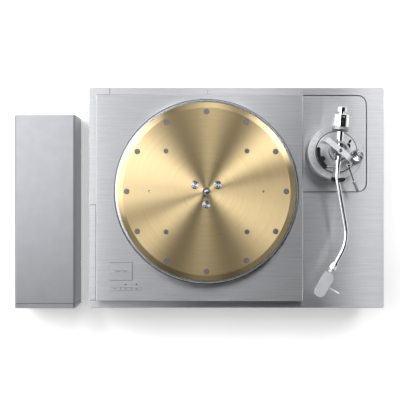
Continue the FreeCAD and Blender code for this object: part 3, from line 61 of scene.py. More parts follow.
# The arm tube: each stretch's length to its corner, the bend there in degrees and the bend's radius.
ARM_STRETCHES = ((45.0, 14.0, 32.0), (109.5, -38.6, 75.0), (44.4, 0.0, 1.0))
TUBE_R, TUBE_ROOT_R = 3.7, 5.3
TUBE_START, TUBE_TAPER, TUBE_SLIM = 9.0, 18.0, 30.0
TUBE_SIDES, BEND_STEPS = 32, 12

# The spindle: the shaft, and the record pin with its rounded tip.
SHAFT_R, PIN_R, PIN_TIP = 6.0, 3.57, 3.0
SHAFT_FOOT_R, SHAFT_FOOT_Z, SHAFT_FOOT_TAPER = 2.5, 66.1, 2.0
SHOULDER_Z, SHOULDER_EDGE, PIN_TOP_Z = 133.0, 0.6, 158.0

# The three large screws of the platter, as places about its axis.
SCREW_PITCH_R, SCREW_ANGLES = 23.0, (30, 150, 270)

# Around the pivot: the anti-skate dial's axis and the top of its black skirt, the cue lever's root
# and where its grip begins, and how far out the arm rest's black cradle begins.
DIAL_X, DIAL_Y, SKIRT_TOP_Z = 35.7, -6.9, 142.3
LEVER_ROOT, GRIP_START = (19.5, -23.3), 30.5
REST_CRADLE = 43.0

# The headshell seen from above: how far along the arm's end, and how far to its right.
SHELL_OUTLINE = (
    (17.0, -4.2), (19.6, -4.2), (19.8, -8.0), (21.4, -9.8), (57.5, -9.8), (61.5, -8.6), (64.0, -5.4),
    (64.8, -0.8), (64.6, 2.6), (63.2, 5.8), (60.6, 8.4), (57.2, 9.7), (26.4, 9.7), (23.6, 8.2),
    (21.6, 5.4), (20.0, 4.2), (17.0, 4.2),
)
SHELL_TOP, SHELL_UNDER, RAIL_UNDER, RAIL_JOIN, SHELL_EDGE = 3.4, 0.2, -3.4, 0.4, 0.6
SHELL_RAILS = (
    ((25.0, -9.6), (56.0, -9.6), (56.0, -7.8), (25.0, -7.8)),
    ((32.0, 7.8), (56.0, 7.8), (56.0, 9.6), (32.0, 9.6)),
)
# The shell's plug: how far along the arm's end, and its radius.
SHELL_PLUG = ((13.0, 4.4), (13.6, 5.2), (17.6, 5.2), (18.0, 4.4))

# The finger lift: how far to the right, half its width, and its height over the arm's axis.
LIFT_STATIONS = ((9.2, 1.6, 1.6), (18.0, 1.3, 1.6), (24.0, 1.0, 2.6), (28.0, 0.8, 4.6), (29.3, 0.6, 5.6))
LIFT_ALONG, LIFT_HALF_T = 42.2, 0.5

# The black ring of painted shade in the gap round the turret's top edge, as radius and height, and
# the lifter's pin: where it begins, measured in plan from the pivot, its height over the surface below,
# and its size.
GAP_SHADE_PROFILE = ((35.0, 141.4), (35.2, 142.1), (36.3, 142.1), (36.5, 141.4), (36.2, 140.6), (35.2, 140.6))
LIFT_PIN_X, LIFT_PIN_Y, LIFT_PIN_Z = -19.6, -26.8, 159.8
LIFT_PIN_LENGTH, LIFT_PIN_R, LIFT_PIN_EDGE = 13.6, 1.2, 0.5

# The scale on the height ring, in degrees round the pivot: marks a hair above the ring, and a figure
# at every fourth.
SCALE_R, SCALE_FIRST, SCALE_LAST, SCALE_MARKS = 38.4, 127.0, 287.0, 49
MARK_LONG, MARK_SHORT, MARK_HALF_WIDTH, MARKS_TO_A_FIGURE = 1.9, 1.2, 0.22, 4
MARK_UNDER, MARK_TOP = 0.02, 0.07
NUMBER_R, NUMBER_STEP, NUMBER_SIZE = 43.4, 13.33, 3.4

# Lettering: the node that carries it, its body, the words and their size.
BUTTON_WORDS = (
    ("start_stop_button", "start_stop", "START·STOP", 4.0),
    ("speed_key_33", "key_33", "33", 3.6),
    ("speed_key_45", "key_45", "45", 3.6),
    ("speed_key_78", "key_78", "78", 3.6),
)
INK_HALF_T, INK_LIFT = 0.02, 0.04

# The studio, in metres. The ceiling has a wide soft window to the left, a screen behind and a strong
# key light to the right, with dark between them, which draws the fans on the platter and the dark
# band along each round part. Each panel is x0, x1, y0, y1 and one of six levels of brightness.
FILL, SOFT, SCREEN, LAMP, WINDOW, KEY = 0.7, 2.2, 3.0, 4.5, 5.5, 7.5
STUDIO_HEIGHT = 2.4
CEILING = {
    "left_far_rear": (-2.8, -1.3, 1.0, 2.6, KEY),
    "left_rear": (-2.8, -0.5, 0.65, 1.0, SCREEN),
    "left_high": (-2.8, -0.5, 0.3, 0.65, WINDOW),
    "left_middle": (-2.8, -0.1, 0.0, 0.3, SCREEN),
    "left_near": (-2.8, -0.5, -0.2, 0.0, LAMP),
    "left_strip": (-0.7, -0.5, -0.7, -0.2, SCREEN),
    "rear_left": (-0.5, -0.08, 1.0, 2.6, SOFT),
    "rear_middle": (-0.08, 0.38, 1.0, 2.6, LAMP),
    "rear_right": (0.38, 0.7, 1.0, 2.6, SOFT),
    "rear_low": (-0.5, -0.3, 0.7, 1.0, SOFT),
    "right_far_rear": (1.2, 2.8, 1.0, 2.6, KEY),
    "right_key": (0.7, 1.5, 0.5, 1.0, KEY),
    "right_front": (0.7, 0.85, -1.6, -0.5, SOFT),
    "front": (-0.4, 0.4, -2.6, -1.6, FILL),
}
# Soft walls far to the left and the right, from the floor up, which whiten the flanks of round parts.
# Each is where it stands, its height and its brightness.
WALLS ={"left_wall": (-2.9, 2.2, 2.2), "right_wall": (2.9, 1.4, 0.8)}
WALL_MIDDLE_Y, WALL_LENGTH = 0.8, 3.2
FLOOR_HALF, FLOOR_GLOW = 20.0, 0.35
WORLD_COLOUR, WORLD_GLOW = "#E6E8EC", 0.02
CAMERA_PLACE, CAMERA_LENS, CAMERA_SENSOR = (0.0043, -0.0024, 1.600), 75.38, 36.0


def place(x, y, z):
    return Vector(((x + SET_X) / 1000, (y + SET_Y) / 1000, z / 1000))


# Materials

# A noise texture's values lie mostly between these two.
NOISE_LOW, NOISE_HIGH = 0.3, 0.7
# How much wider the faint clouds in a colour are than the surface's pits, in metal and in plastic.
METAL_CLOUD, PLASTIC_CLOUD = 60, 40
# A face counts as an end when the X part of its normal is more than this.
END_FACING = 0.72


def linear(colour):
    """An sRGB hex colour as the linear values that a shader takes."""
    parts = [int(colour[i:i + 2], 16) / 255 for i in (1, 3, 5)]
    return tuple(p / 12.92 if p <= 0.04045 else ((p + 0.055) / 1.055) ** 2.4 for p in parts) + (1.0,)


def add(tree, kind, settings=None, values=None, links=None):
    """Adds a node: settings are its own options, values its input sockets, links what feeds them."""
    made = tree.nodes.new(kind)
    for name, value in (settings or {}).items():
        setattr(made, name, value)
    for name, value in (values or {}).items():
        made.inputs[name].default_value = value
    for name, source in (links or {}).items():
        tree.links.new(source, made.inputs[name])
    return made


def grain(tree, length, pitch, across, detail=3.0, spread=0.6):
    """Noise drawn out into streaks: its size in millimetres along X, along Y and along Z."""
    where = add(tree, "ShaderNodeTexCoord")
    scaled = add(tree, "ShaderNodeMapping", values={"Scale": (1000 / length, 1000 / pitch, 1000 / across)},
                 links={"Vector": where.outputs["Object"]})
    return add(tree, "ShaderNodeTexNoise", values={"Scale": 1.0, "Detail": detail, "Roughness": spread},
               links={"Vector": scaled.outputs["Vector"]})


def lay_pattern(tree, surface, tint, fine, shades, roughs, strength=0.0, depth_mm=0.0):
    """Lays two noises on a surface: one runs between two shades, one varies how rough and high it is."""
    ramp = add(tree, "ShaderNodeValToRGB", links={"Fac": tint.outputs["Fac"]})
    for stop, position, colour in zip(ramp.color_ramp.elements, (NOISE_LOW, NOISE_HIGH), shades):
        stop.position = position
        stop.color = linear(colour)
    ranged = add(tree, "ShaderNodeMapRange", links={"Value": fine.outputs["Fac"]},
                 values={"From Min": NOISE_LOW, "From Max": NOISE_HIGH, "To Min": roughs[0],
                         "To Max": roughs[1]})
    tree.links.new(ramp.outputs["Color"], surface.inputs["Base Color"])
    tree.links.new(ranged.outputs["Result"], surface.inputs["Roughness"])
    if strength:
        bump = add(tree, "ShaderNodeBump", values={"Strength": strength, "Distance": depth_mm / 1000},
                   links={"Height": fine.outputs["Fac"]})
        tree.links.new(bump.outputs["Normal"], surface.inputs["Normal"])


def across_groove(tree, groove):
    """The direction in which a brushed surface spreads its shine: square to the grooves, in the surface."""
    turned = add(tree, "ShaderNodeVectorTransform", {"vector_type": "VECTOR", "convert_from": "OBJECT",
                                                     "convert_to": "WORLD"}, links={"Vector": groove})
    surface = add(tree, "ShaderNodeNewGeometry")
    crossed = add(tree, "ShaderNodeVectorMath", {"operation": "CROSS_PRODUCT"},
                  links={0: turned.outputs["Vector"], 1: surface.outputs["Normal"]})
    unit = add(tree, "ShaderNodeVectorMath", {"operation": "NORMALIZE"},
               links={0: crossed.outputs["Vector"]})
    return unit.outputs["Vector"]


def straight_groove(tree):
    """Grooves along X on the top and the long sides, and along Y on the ends."""
    where = add(tree, "ShaderNodeTexCoord")
    parts = add(tree, "ShaderNodeSeparateXYZ", links={"Vector": where.outputs["Normal"]})
    size = add(tree, "ShaderNodeMath", {"operation": "ABSOLUTE"}, links={0: parts.outputs["X"]})
    end = add(tree, "ShaderNodeMath", {"operation": "GREATER_THAN"}, values={1: END_FACING},
              links={0: size.outputs[0]})
    # The mix node's sockets 4 and 5 are its two vectors, and its output 1 is the vector it gives.
    along = add(tree, "ShaderNodeMix", {"data_type": "VECTOR"}, values={4: (1, 0, 0), 5: (0, 1, 0)},
                links={0: end.outputs[0]})
    return along.outputs[1]


def round_groove(tree, centre):
    """Grooves that run round an upright axis, as a lathe leaves them."""
    where = add(tree, "ShaderNodeTexCoord")
    arm = add(tree, "ShaderNodeVectorMath", {"operation": "SUBTRACT"}, values={1: centre},
              links={0: where.outputs["Object"]})
    crossed = add(tree, "ShaderNodeVectorMath", {"operation": "CROSS_PRODUCT"}, values={0: (0, 0, 1)},
                  links={1: arm.outputs["Vector"]})
    return crossed.outputs["Vector"]


def shader(name, values):
    """A material with one surface shader; the caller links its patterns through its tree."""
    made = bpy.data.materials.new(name)
    made.use_nodes = True
    tree = made.node_tree
    tree.nodes.clear()
    surface = add(tree, "ShaderNodeBsdfPrincipled", values=values)
    add(tree, "ShaderNodeOutputMaterial", links={"Surface": surface.outputs["BSDF"]})
    return made, tree, surface


def brushed_plate(name, dark, light, rough, length_mm, pitch_mm):
    """Long-brushed, clear anodised aluminium: fine straight lines that shine as one soft band."""
    made, tree, surface = shader(name, {"Metallic": 0.92, "Anisotropic": 1.0})
    lines = grain(tree, length_mm, pitch_mm, pitch_mm, detail=4.0, spread=0.65)
    lay_pattern(tree, surface, lines, lines, (dark, light), (rough - 0.03, rough + 0.04),
                strength=0.12, depth_mm=0.03)
    tree.links.new(across_groove(tree, straight_groove(tree)), surface.inputs["Tangent"])
    return made


def spun(name, dark, light, rough, anisotropy, centre, ring_mm, coat=0.0):
    """Metal finished on a lathe: rings round its axis, so the shine opens out like a fan."""
    made, tree, surface = shader(name, {"Metallic": 1.0, "Anisotropic": anisotropy, "Coat Weight": coat,
                                        "Coat Roughness": 0.12})
    where = add(tree, "ShaderNodeTexCoord")
    arm = add(tree, "ShaderNodeVectorMath", {"operation": "SUBTRACT"}, values={1: centre},
              links={0: where.outputs["Object"]})
    parts = add(tree, "ShaderNodeSeparateXYZ", links={"Vector": arm.outputs["Vector"]})
    radius = add(tree, "ShaderNodeVectorMath", {"operation": "LENGTH"}, links={0: arm.outputs["Vector"]})
    turn = add(tree, "ShaderNodeMath", {"operation": "ARCTAN2"}, links={0: parts.outputs["Y"],
                                                                       1: parts.outputs["X"]})
    along = add(tree, "ShaderNodeMath", {"operation": "MULTIPLY"}, values={1: 1000 / ring_mm},
                links={0: radius.outputs["Value"]})
    both = add(tree, "ShaderNodeCombineXYZ", links={"X": along.outputs[0], "Y": turn.outputs[0]})
    rings = add(tree, "ShaderNodeTexNoise", values={"Scale": 1.0, "Detail": 2.0},
                links={"Vector": both.outputs["Vector"]})
    lay_pattern(tree, surface, rings, rings, (dark, light), (rough - 0.02, rough + 0.03),
                strength=0.08, depth_mm=0.02)
    tree.links.new(across_groove(tree, round_groove(tree, centre)), surface.inputs["Tangent"])
    return made


def blasted(name, dark, light, rough, grit_mm):
    """Metal of fine even pits, from blasting, casting or sintering: soft shine, no lines."""
    made, tree, surface = shader(name, {"Metallic": 1.0})
    cloud_mm = grit_mm * METAL_CLOUD
    pits = grain(tree, grit_mm, grit_mm, grit_mm, detail=2.0, spread=0.5)
    clouds = grain(tree, cloud_mm, cloud_mm, cloud_mm, detail=2.0, spread=0.5)
    lay_pattern(tree, surface, clouds, pits, (dark, light), (rough - 0.04, rough + 0.04),
                strength=0.25, depth_mm=0.02)
    return made


def polished(name, dark, light, rough):
    """Plated or ground steel: a near mirror with a faint haze from handling."""
    made, tree, surface = shader(name, {"Metallic": 1.0})
    smear_mm = 40.0
    haze = grain(tree, smear_mm, smear_mm, smear_mm)
    lay_pattern(tree, surface, haze, haze, (dark, light), (rough * 0.7, rough * 1.4))
    return made


def moulded(name, dark, light, rough, grit_mm, gloss=0.5, strength=0.2):
    """Plastic, rubber, paper or ink: a fine even grain over a deep colour."""
    made, tree, surface = shader(name, {"Metallic": 0.0, "Specular IOR Level": gloss})
    cloud_mm = grit_mm * PLASTIC_CLOUD
    pits = grain(tree, grit_mm, grit_mm, grit_mm)
    clouds = grain(tree, cloud_mm, cloud_mm, cloud_mm, detail=2.0, spread=0.5)
    lay_pattern(tree, surface, clouds, pits, (dark, light), (rough - 0.05, rough + 0.05),
                strength=strength, depth_mm=0.03)
    return made


platter_axis = place(0, 0, 0)
dial_axis = place(PIVOT_X + DIAL_X, PIVOT_Y + DIAL_Y, 0)

# Real brushing lines, turning rings and blasting pits are about 0.1 mm apart, which is too fine to
# show. So the lines are drawn 1.6 mm apart, the rings 0.3 to 0.6 mm and the pits 0.3 to 0.9 mm.
# Polished plastic has no pits: its grain of 2 to 4 mm is the faint ripple that the mould leaves.
finishes = {
    # Aluminium brushed along its length and clear anodised: fine pale lines with a soft sheen.
    "plinth_aluminium": brushed_plate("brushed_anodised_plinth", "#C3C4C8", "#D6D7DA", 0.31, 70, 1.6),
    "panel_aluminium": brushed_plate("brushed_anodised_motor_panel", "#C0C1C5", "#D2D3D6", 0.31, 70, 1.6),
    # Mineral-filled resin cast in a mould: a dark, dull band under the bright plate.
    "moulded_composite": moulded("filled_composite_moulded", "#26272A", "#303134", 0.62, 0.9),
    # Aluminium castings, blasted: plain mid grey.
    "cast_aluminium": blasted("cast_aluminium_blasted", "#8E8F92", "#A0A1A4", 0.5, 0.8),
    # The platter's rim, turned: thin bright streaks that run round it.
    "turned_aluminium": spun("rim_aluminium_turned", "#D2D3D5", "#E4E4E6", 0.22, 0.5, platter_axis, 0.6),
    # The feet, satin anodised: soft light grey.
    "foot_aluminium": blasted("foot_aluminium_satin", "#B2B4B8", "#C2C4C8", 0.36, 0.5),
    # Brass spun and lacquered: gold fans of light from the axis under a thin clear gloss.
    "spun_brass": spun("brass_spun_lacquered", "#CBB488", "#D4BE92", 0.32, 1.0, platter_axis, 0.5, coat=0.3),
    # Tungsten plugs, ground flat: dull grey dots in the brass.
    "tungsten": blasted("tungsten_ground", "#6E6A6B", "#7C787A", 0.55, 0.4),
    # Chrome plate on drawn steel: white and black bands along the arm.
    "chrome_steel": polished("chrome_plated_steel", "#DCDDE0", "#EDEEF0", 0.06),
    # Ground bearing steel: a softer, greyer mirror.
    "bearing_steel": polished("ground_bearing_steel", "#B4B6BA", "#C8CACE", 0.22),
    # Sintered bronze bushes: dull warm brown.
    "bronze": blasted("sintered_bronze", "#8A6238", "#A27645", 0.45, 0.3),
    # Sintered ferrite: near black, dull.
    "magnet_ferrite": blasted("ferrite_sintered", "#2B2B2D", "#38383B", 0.5, 0.4),
    # Enamelled copper wire, wound: reddish and glossy.
    "copper_winding": blasted("enamelled_copper_wound", "#A85C2A", "#C0713A", 0.3, 0.6),
    # Circuit board under solder mask: deep green, half gloss.
    "circuit_board": moulded("circuit_board_masked", "#12452B", "#1A5636", 0.35, 0.6),
    # Moulded rubber: black that takes almost no shine.
    "rubber_black": moulded("rubber_moulded", "#0C0C0D", "#131314", 0.8, 0.5, gloss=0.15),
    # Small arm parts, satin anodised: mid grey with a soft shine.
    "satin_silver": blasted("satin_anodised_arm_parts", "#9C9DA0", "#A8A9AC", 0.46, 0.35),
    # Acetal, moulded black: deep black with a faint sheen.
    "black_plastic": moulded("acetal_black_moulded", "#0A0A0B", "#121214", 0.5, 0.4, gloss=0.25),
    # The control unit's aluminium case, finely blasted: an even grey with no lines.
    "grey_anodised": blasted("case_aluminium_fine_blasted", "#929397", "#96979B", 0.42, 0.35),
    # Smoked acrylic, polished: a black gloss over the display.
    "smoked_acrylic": moulded("acrylic_smoked_polished", "#060608", "#0B0B0E", 0.08, 4.0, gloss=0.6,
                              strength=0.02),
    # Indicator lenses, unlit: small dark glossy dots.
    "lens_clear": moulded("lens_dark_polished", "#2B2B30", "#3A3A40", 0.12, 2.0, gloss=0.6, strength=0.02),
}

# Height ring and headshell, aluminium pearl-blasted: matt and light from every side.
ring_pearl = blasted("ring_aluminium_pearl_blasted", "#C6C7C9", "#D0D1D3", 0.62, 0.35)
# The turret inside the ring, blasted the same way: a shade lighter, so that it stands out.
turret_pearl = blasted("turret_aluminium_pearl_blasted", "#D2D3D5", "#DCDDDF", 0.62, 0.35)
# The pivot bridge, aluminium with a satin finish: a light bar with a soft shine over the turret.
bridge_satin = blasted("bridge_aluminium_satin", "#CCCDD0", "#D6D7DA", 0.5, 0.35)
# The anti-skate dial's steel cap, spun: a small fan of light.
cap_spun = spun("knob_steel_spun", "#D0D1D4", "#E0E1E4", 0.22, 0.95, dial_axis, 0.3)
# The small screws of the brass plate, blackened: dark dots.
plate_screw_steel = blasted("screw_steel_blackened", "#6A6A6C", "#78787B", 0.4, 0.3)
# The cue lever's grip, satin: a thick grey end on a thin bright rod.
grip_satin = blasted("lever_grip_satin", "#AEAFB3", "#BABBBF", 0.5, 0.3)
# Printed ink: flat and nearly black.
ink = moulded("scale_ink_printed", "#1A1A1C", "#26262A", 0.6, 0.3, gloss=0.3, strength=0.05)

own_finish = {
    "height_ring": ring_pearl,
    "headshell": ring_pearl,
    "arm_turret": turret_pearl,
    "pivot_bridge": bridge_satin,
    "anti_skate_dial": cap_spun,
    "plate_screws": plate_screw_steel,
}
slot_of = {row["node"]: row["material_slot"] for row in frame["record"]["subparts"]}
for name, node in nodes.items():
    node.data.materials.clear()
    node.data.materials.append(own_finish.get(name, finishes[slot_of[name]]))


def paint(name, finish, chosen):
    """Gives a second finish to the faces of a node whose middle, in the source's millimetres, is chosen."""
    mesh = nodes[name].data
    mesh.materials.append(finish)
    for face in mesh.polygons:
        x, y, z = face.center * 1000
        if chosen(x - SET_X, y - SET_Y, z):
            face.material_index = len(mesh.materials) - 1


def from_point(x, y, place_x, place_y):
    return math.hypot(x - place_x, y - place_y)


def on_grip(x, y, _):
    return from_point(x, y, PIVOT_X + LEVER_ROOT[0], PIVOT_Y + LEVER_ROOT[1]) > GRIP_START


paint("anti_skate_dial", finishes["black_plastic"], lambda x, y, z: z < SKIRT_TOP_Z)
paint("cue_lever", grip_satin, on_grip)
paint("arm_rest", finishes["satin_silver"],
      lambda x, y, z: from_point(x, y, PIVOT_X, PIVOT_Y) < REST_CRADLE)
for number, angle in enumerate(SCREW_ANGLES):
    screw_x = SCREW_PITCH_R * math.cos(math.radians(angle))
    screw_y = SCREW_PITCH_R * math.sin(math.radians(angle))
    # Each large screw's head is faced on a lathe, so it has its own small fan.
    head_spun = spun(f"screw_steel_spun_{number}", "#D8D9DC", "#E6E7E9", 0.20, 0.9,
                     place(screw_x, screw_y, 0), 0.3)
    paint("platter_fixing_screws", head_spun,
          lambda x, y, z: from_point(x, y, screw_x, screw_y) < SCREW_PITCH_R / 2)

# Pieces

# Edges that bend more than this many degrees stay sharp.
SHARP_ANGLE = 35
# How many sides stand for a circle on a turned part, on the shell's plug and on the lifter's pin.
TURNED_SIDES, PLUG_SIDES, PIN_SIDES = 64, 32, 20


def keep_piece(name, mesh, finish, body):
    """Turns finished mesh code into a piece that rides on its body."""
    data = bpy.data.meshes.new(name)
    mesh.to_mesh(data)
    mesh.free()
    data.shade_smooth()
    data.set_sharp_from_angle(angle=math.radians(SHARP_ANGLE))
    data.materials.append(finish)
    piece = bpy.data.objects.new(name, data)
    bpy.context.scene.collection.objects.link(piece)
    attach(piece, body)
    return piece


def skin(mesh, rings, hoop=False):
    """Joins rings of points into one closed body: a flat face on each end, or a hoop that meets itself."""
    rows = [[mesh.verts.new(point) for point in ring] for ring in rings]
    count = len(rows[0])
    for near, far in zip(rows, rows[1:] + rows[:1] * hoop):
        for i in range(count):
            mesh.faces.new((near[i], near[(i + 1) % count], far[(i + 1) % count], far[i]))
    if not hoop:
        mesh.faces.new(list(reversed(rows[0])))
        mesh.faces.new(rows[-1])
    bmesh.ops.recalc_face_normals(mesh, faces=mesh.faces)


def round_turns(sides):
    """Evenly spaced angles once round."""
    return [2 * math.pi * i / sides for i in range(sides)]


def arm_line():
    """Points along the tube from the pivot to the collar, each with its heading and how far along it is."""
    heading, x, y, along, cut_before = ARM_ANGLE, PIVOT_X, PIVOT_Y, 0.0, 0.0
    line = [(x, y, heading, along)]
    for length, bend, radius in ARM_STRETCHES:
        cut = radius * math.tan(math.radians(abs(bend) / 2))
        steps = BEND_STEPS if bend else 0
        turn = bend / BEND_STEPS
        chord = 2 * radius * math.sin(math.radians(abs(turn) / 2))
        straight = length - cut - cut_before
        moves = [(straight, 0.0)] + [(chord, turn / 2)] * steps
        for distance, half_turn in moves:
            heading += half_turn
            x += distance * math.cos(math.radians(heading))
            y += distance * math.sin(math.radians(heading))
            heading += half_turn
            along += distance
            line.append((x, y, heading, along))
        cut_before = cut
    return line


def tube_radius(along):
    share = min(1.0, max(0.0, (along - TUBE_TAPER) / (TUBE_SLIM - TUBE_TAPER)))
    return TUBE_ROOT_R + share * (TUBE_R - TUBE_ROOT_R)


def arm_tube():
    """The S-shaped tube, thick at its root and drawn down to one slim size."""
    line = arm_line()
    x0, y0, heading, _ = line[0]
    dx, dy = math.cos(math.radians(heading)), math.sin(math.radians(heading))
    root = [(x0 + d * dx, y0 + d * dy, heading, d) for d in (TUBE_START, TUBE_TAPER, TUBE_SLIM)]
    rings = []
    for x, y, heading, along in root + line[1:]:
        radius = tube_radius(along)
        side_x, side_y = -math.sin(math.radians(heading)), math.cos(math.radians(heading))
        rings.append([place(x + radius * math.cos(t) * side_x, y + radius * math.cos(t) * side_y,
                            ARM_Z + radius * math.sin(t)) for t in round_turns(TUBE_SIDES)])
    mesh = bmesh.new()
    skin(mesh, rings)
    piece = keep_piece("arm_tube_drawn", mesh, finishes["chrome_steel"], "tonearm")
    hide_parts("arm_tube")


def turned_piece(name, profile, finish, body, centre=(0, 0), hoop=False):
    """A turned part about an upright axis, from its radii and heights."""
    mesh = bmesh.new()
    x, y = centre
    rings = [[place(x + r * math.cos(t), y + r * math.sin(t), z) for t in round_turns(TURNED_SIDES)]
             for r, z in profile]
    skin(mesh, rings, hoop)
    return keep_piece(name, mesh, finish, body)


def spindle():
    """The shaft with its shoulder sunk below the brass, and the slim record pin with a rounded tip."""
    arc = [math.radians(a) for a in range(0, 81, 20)]
    tip = [(PIN_R * math.cos(a), PIN_TOP_Z - PIN_TIP + PIN_TIP * math.sin(a)) for a in arc]
    shaft = [(SHAFT_FOOT_R, SHAFT_FOOT_Z), (SHAFT_R, SHAFT_FOOT_Z + SHAFT_FOOT_TAPER),
             (SHAFT_R, SHOULDER_Z - SHOULDER_EDGE), (SHAFT_R - SHOULDER_EDGE, SHOULDER_Z),
             (PIN_R, SHOULDER_Z)]
    piece = turned_piece("spindle_turned", shaft + tip, finishes["bearing_steel"], "platter")
    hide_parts("spindle_shaft")


def lift_pin():
    """The bright pin on the lifter's end, on which the arm comes down."""
    x0, y0 = PIVOT_X + LIFT_PIN_X, PIVOT_Y + LIFT_PIN_Y
    steps = ((0.0, LIFT_PIN_R), (LIFT_PIN_LENGTH - LIFT_PIN_EDGE, LIFT_PIN_R),
             (LIFT_PIN_LENGTH, LIFT_PIN_R - LIFT_PIN_EDGE))
    rings = [[place(x0 + d, y0 + r * math.cos(t), LIFT_PIN_Z + r * math.sin(t))
              for t in round_turns(PIN_SIDES)] for d, r in steps]
    mesh = bmesh.new()
    skin(mesh, rings)
    keep_piece("lifter_pin", mesh, finishes["chrome_steel"], "lifter")


def on_arm_end(along, right, up):
    """A point given along the arm's last stretch, to its right seen from above, and over its axis."""
    x, y, heading, _ = arm_line()[-1]
    dx, dy = math.cos(math.radians(heading)), math.sin(math.radians(heading))
    return place(x + along * dx - right * dy, y + along * dy + right * dx, ARM_Z + up)


def inset(outline, by):
    """The same outline drawn in a little towards its middle."""
    middle_a = sum(a for a, _ in outline) / len(outline)
    middle_r = sum(r for _, r in outline) / len(outline)
    reach = max(math.hypot(a - middle_a, r - middle_r) for a, r in outline)
    keep = 1 - by / reach
    return [(middle_a + (a - middle_a) * keep, middle_r + (r - middle_r) * keep) for a, r in outline]


def headshell():
    """The shell: a plate with its rear corner cut off and a round nose, two rails below and a plug."""
    mesh = bmesh.new()
    levels = ((SHELL_UNDER, 0.0), (SHELL_TOP - SHELL_EDGE, 0.0), (SHELL_TOP, SHELL_EDGE))
    skin(mesh, [[on_arm_end(a, r, up) for a, r in inset(SHELL_OUTLINE, by)] for up, by in levels])
    rail_levels = (RAIL_UNDER, SHELL_UNDER + RAIL_JOIN)
    for rail in SHELL_RAILS:
        skin(mesh, [[on_arm_end(a, r, up) for a, r in rail] for up in rail_levels])
    skin(mesh, [[on_arm_end(a, r * math.cos(t), r * math.sin(t)) for t in round_turns(PLUG_SIDES)]
                for a, r in SHELL_PLUG])
    piece = keep_piece("headshell_milled", mesh, ring_pearl, "shell")
    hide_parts("headshell")


def finger_lift():
    """The finger lift, a thin tapered strip that curls up at its tip."""
    rings = []
    for right, half, up in LIFT_STATIONS:
        corners = ((-half, -LIFT_HALF_T), (half, -LIFT_HALF_T), (half, LIFT_HALF_T), (-half, LIFT_HALF_T))
        rings.append([on_arm_end(LIFT_ALONG + a, right, up + z) for a, z in corners])
    mesh = bmesh.new()
    skin(mesh, rings)
    piece = keep_piece("finger_lift_strip", mesh, ring_pearl, "shell")
    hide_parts("finger_lift")


def turret_gap_painted_shade():
    """A thin black ring in the gap between the turret and the height ring: painted shade where the gap is
    dark.
    """
    turned_piece("turret_gap_painted_shade", GAP_SHADE_PROFILE, finishes["rubber_black"], "turret",
                 (PIVOT_X, PIVOT_Y), hoop=True)


def lettering(name, words, size, middle, body, turn=0.0):
    """Printed words or figures, a hair above the surface that carries them, centred on one point."""
    font = bpy.data.curves.new(name, "FONT")
    font.body = words
    font.size = size / 1000
    font.extrude = INK_HALF_T / 1000
    font.align_x = "CENTER"
    font.align_y = "CENTER"
    font.materials.append(ink)
    piece = bpy.data.objects.new(name, font)
    bpy.context.scene.collection.objects.link(piece)
    piece.location = middle + Vector((0, 0, INK_LIFT / 1000))
    piece.rotation_euler = (0, 0, turn)
    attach(piece, body)


def button_words():
    """START and STOP on the large button, and each speed on its own key."""
    for node, body, words, size in BUTTON_WORDS:
        low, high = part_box(node)
        top_middle = Vector(((low.x + high.x) / 2, (low.y + high.y) / 2, high.z))
        lettering(f"{node}_words", words, size, top_middle, body)


def ring_scale_marks():
    """The height ring's fine marks beside the turret."""
    pivot = Vector((PIVOT_X, PIVOT_Y, 0))
    mesh = bmesh.new()
    for i in range(SCALE_MARKS):
        angle = math.radians(SCALE_FIRST + (SCALE_LAST - SCALE_FIRST) * i / (SCALE_MARKS - 1))
        length = MARK_LONG if i % MARKS_TO_A_FIGURE == 0 else MARK_SHORT
        out = Vector((math.cos(angle), math.sin(angle), 0))
        side = Vector((-out.y, out.x, 0)) * MARK_HALF_WIDTH
        near, far = (pivot + out * r for r in (SCALE_R, SCALE_R + length))
        corners = (near - side, far - side, far + side, near + side)
        levels = (RING_TOP_Z + MARK_UNDER, RING_TOP_Z + MARK_TOP)
        skin(mesh, [[place(c.x, c.y, z) for c in corners] for z in levels])
    keep_piece("ring_scale_marks", mesh, ink, "height_dial")


def ring_scale_figures():
    """The figures outside the marks, each upright to a reader who looks in from the rim."""
    for i in range(int((SCALE_LAST - SCALE_FIRST) / NUMBER_STEP) + 1):
        angle = math.radians(SCALE_FIRST + NUMBER_STEP * i)
        out_x, out_y = NUMBER_R * math.cos(angle), NUMBER_R * math.sin(angle)
        middle = place(PIVOT_X + out_x, PIVOT_Y + out_y, RING_TOP_Z)
        lettering(f"ring_scale_figure_{i}", str(i % 10), NUMBER_SIZE, middle, "height_dial",
                  angle - math.pi / 2)


arm_tube()
spindle()
lift_pin()
headshell()
finger_lift()
turret_gap_painted_shade()
button_words()
ring_scale_marks()
ring_scale_figures()

# Floor, camera and light

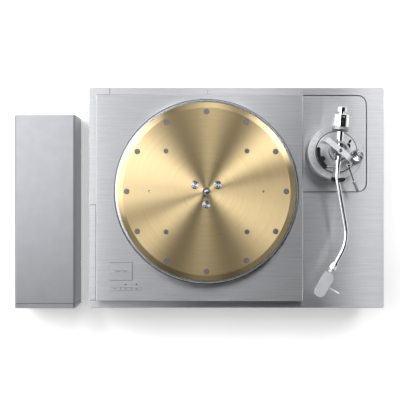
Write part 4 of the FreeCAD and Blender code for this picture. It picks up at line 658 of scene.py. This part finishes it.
def softbox(name, middle, width, height, brightness, turned=(0, 0, 0)):
    """A panel of even light; brightness is what a mirror would show of it."""
    lamp = bpy.data.lights.new(name, "AREA")
    lamp.shape = "RECTANGLE"
    lamp.size = width
    lamp.size_y = height
    lamp.energy = math.pi * width * height * brightness
    stand = bpy.data.objects.new(name, lamp)
    bpy.context.scene.collection.objects.link(stand)
    stand.location = middle
    stand.rotation_euler = turned
    stand.visible_camera = False


def floor_sheet():
    """The studio's floor of white paper, lit a little from behind so that it stays plain."""
    mesh = bmesh.new()
    bmesh.ops.create_grid(mesh, x_segments=4, y_segments=4, size=FLOOR_HALF)
    data = bpy.data.meshes.new("studio_floor")
    mesh.to_mesh(data)
    mesh.free()
    sheet = bpy.data.objects.new("studio_floor", data)
    bpy.context.scene.collection.objects.link(sheet)
    # Matt paper: a plain white surround in which the part's shadow stays soft.
    paper = moulded("studio_sheet_backlit", "#F4F4F4", "#FAFAFA", 0.8, 3.0, gloss=0.2, strength=0.02)
    surface = paper.node_tree.nodes["Principled BSDF"]
    surface.inputs["Emission Color"].default_value = (1.0, 1.0, 1.0, 1.0)
    surface.inputs["Emission Strength"].default_value = FLOOR_GLOW
    sheet.data.materials.append(paper)


floor_sheet()

camera_data = bpy.data.cameras.new("camera")
camera_data.sensor_width = CAMERA_SENSOR
camera_data.lens = CAMERA_LENS
camera = bpy.data.objects.new("camera", camera_data)
bpy.context.scene.collection.objects.link(camera)
camera.location = CAMERA_PLACE
bpy.context.scene.camera = camera

world = bpy.data.worlds.new("studio")
bpy.context.scene.world = world
world.use_nodes = True
world.node_tree.nodes["Background"].inputs["Color"].default_value = linear(WORLD_COLOUR)
world.node_tree.nodes["Background"].inputs["Strength"].default_value = WORLD_GLOW

for name, (x0, x1, y0, y1, brightness) in CEILING.items():
    softbox(name, ((x0 + x1) / 2, (y0 + y1) / 2, STUDIO_HEIGHT), x1 - x0, y1 - y0, brightness)
for name, (x, height, brightness) in WALLS.items():
    facing = math.radians(-90 if x < 0 else 90)
    softbox(name, (x, WALL_MIDDLE_Y, height / 2), height, WALL_LENGTH, brightness, (0, facing, 0))

bpy.context.scene.view_settings.view_transform = "Standard"
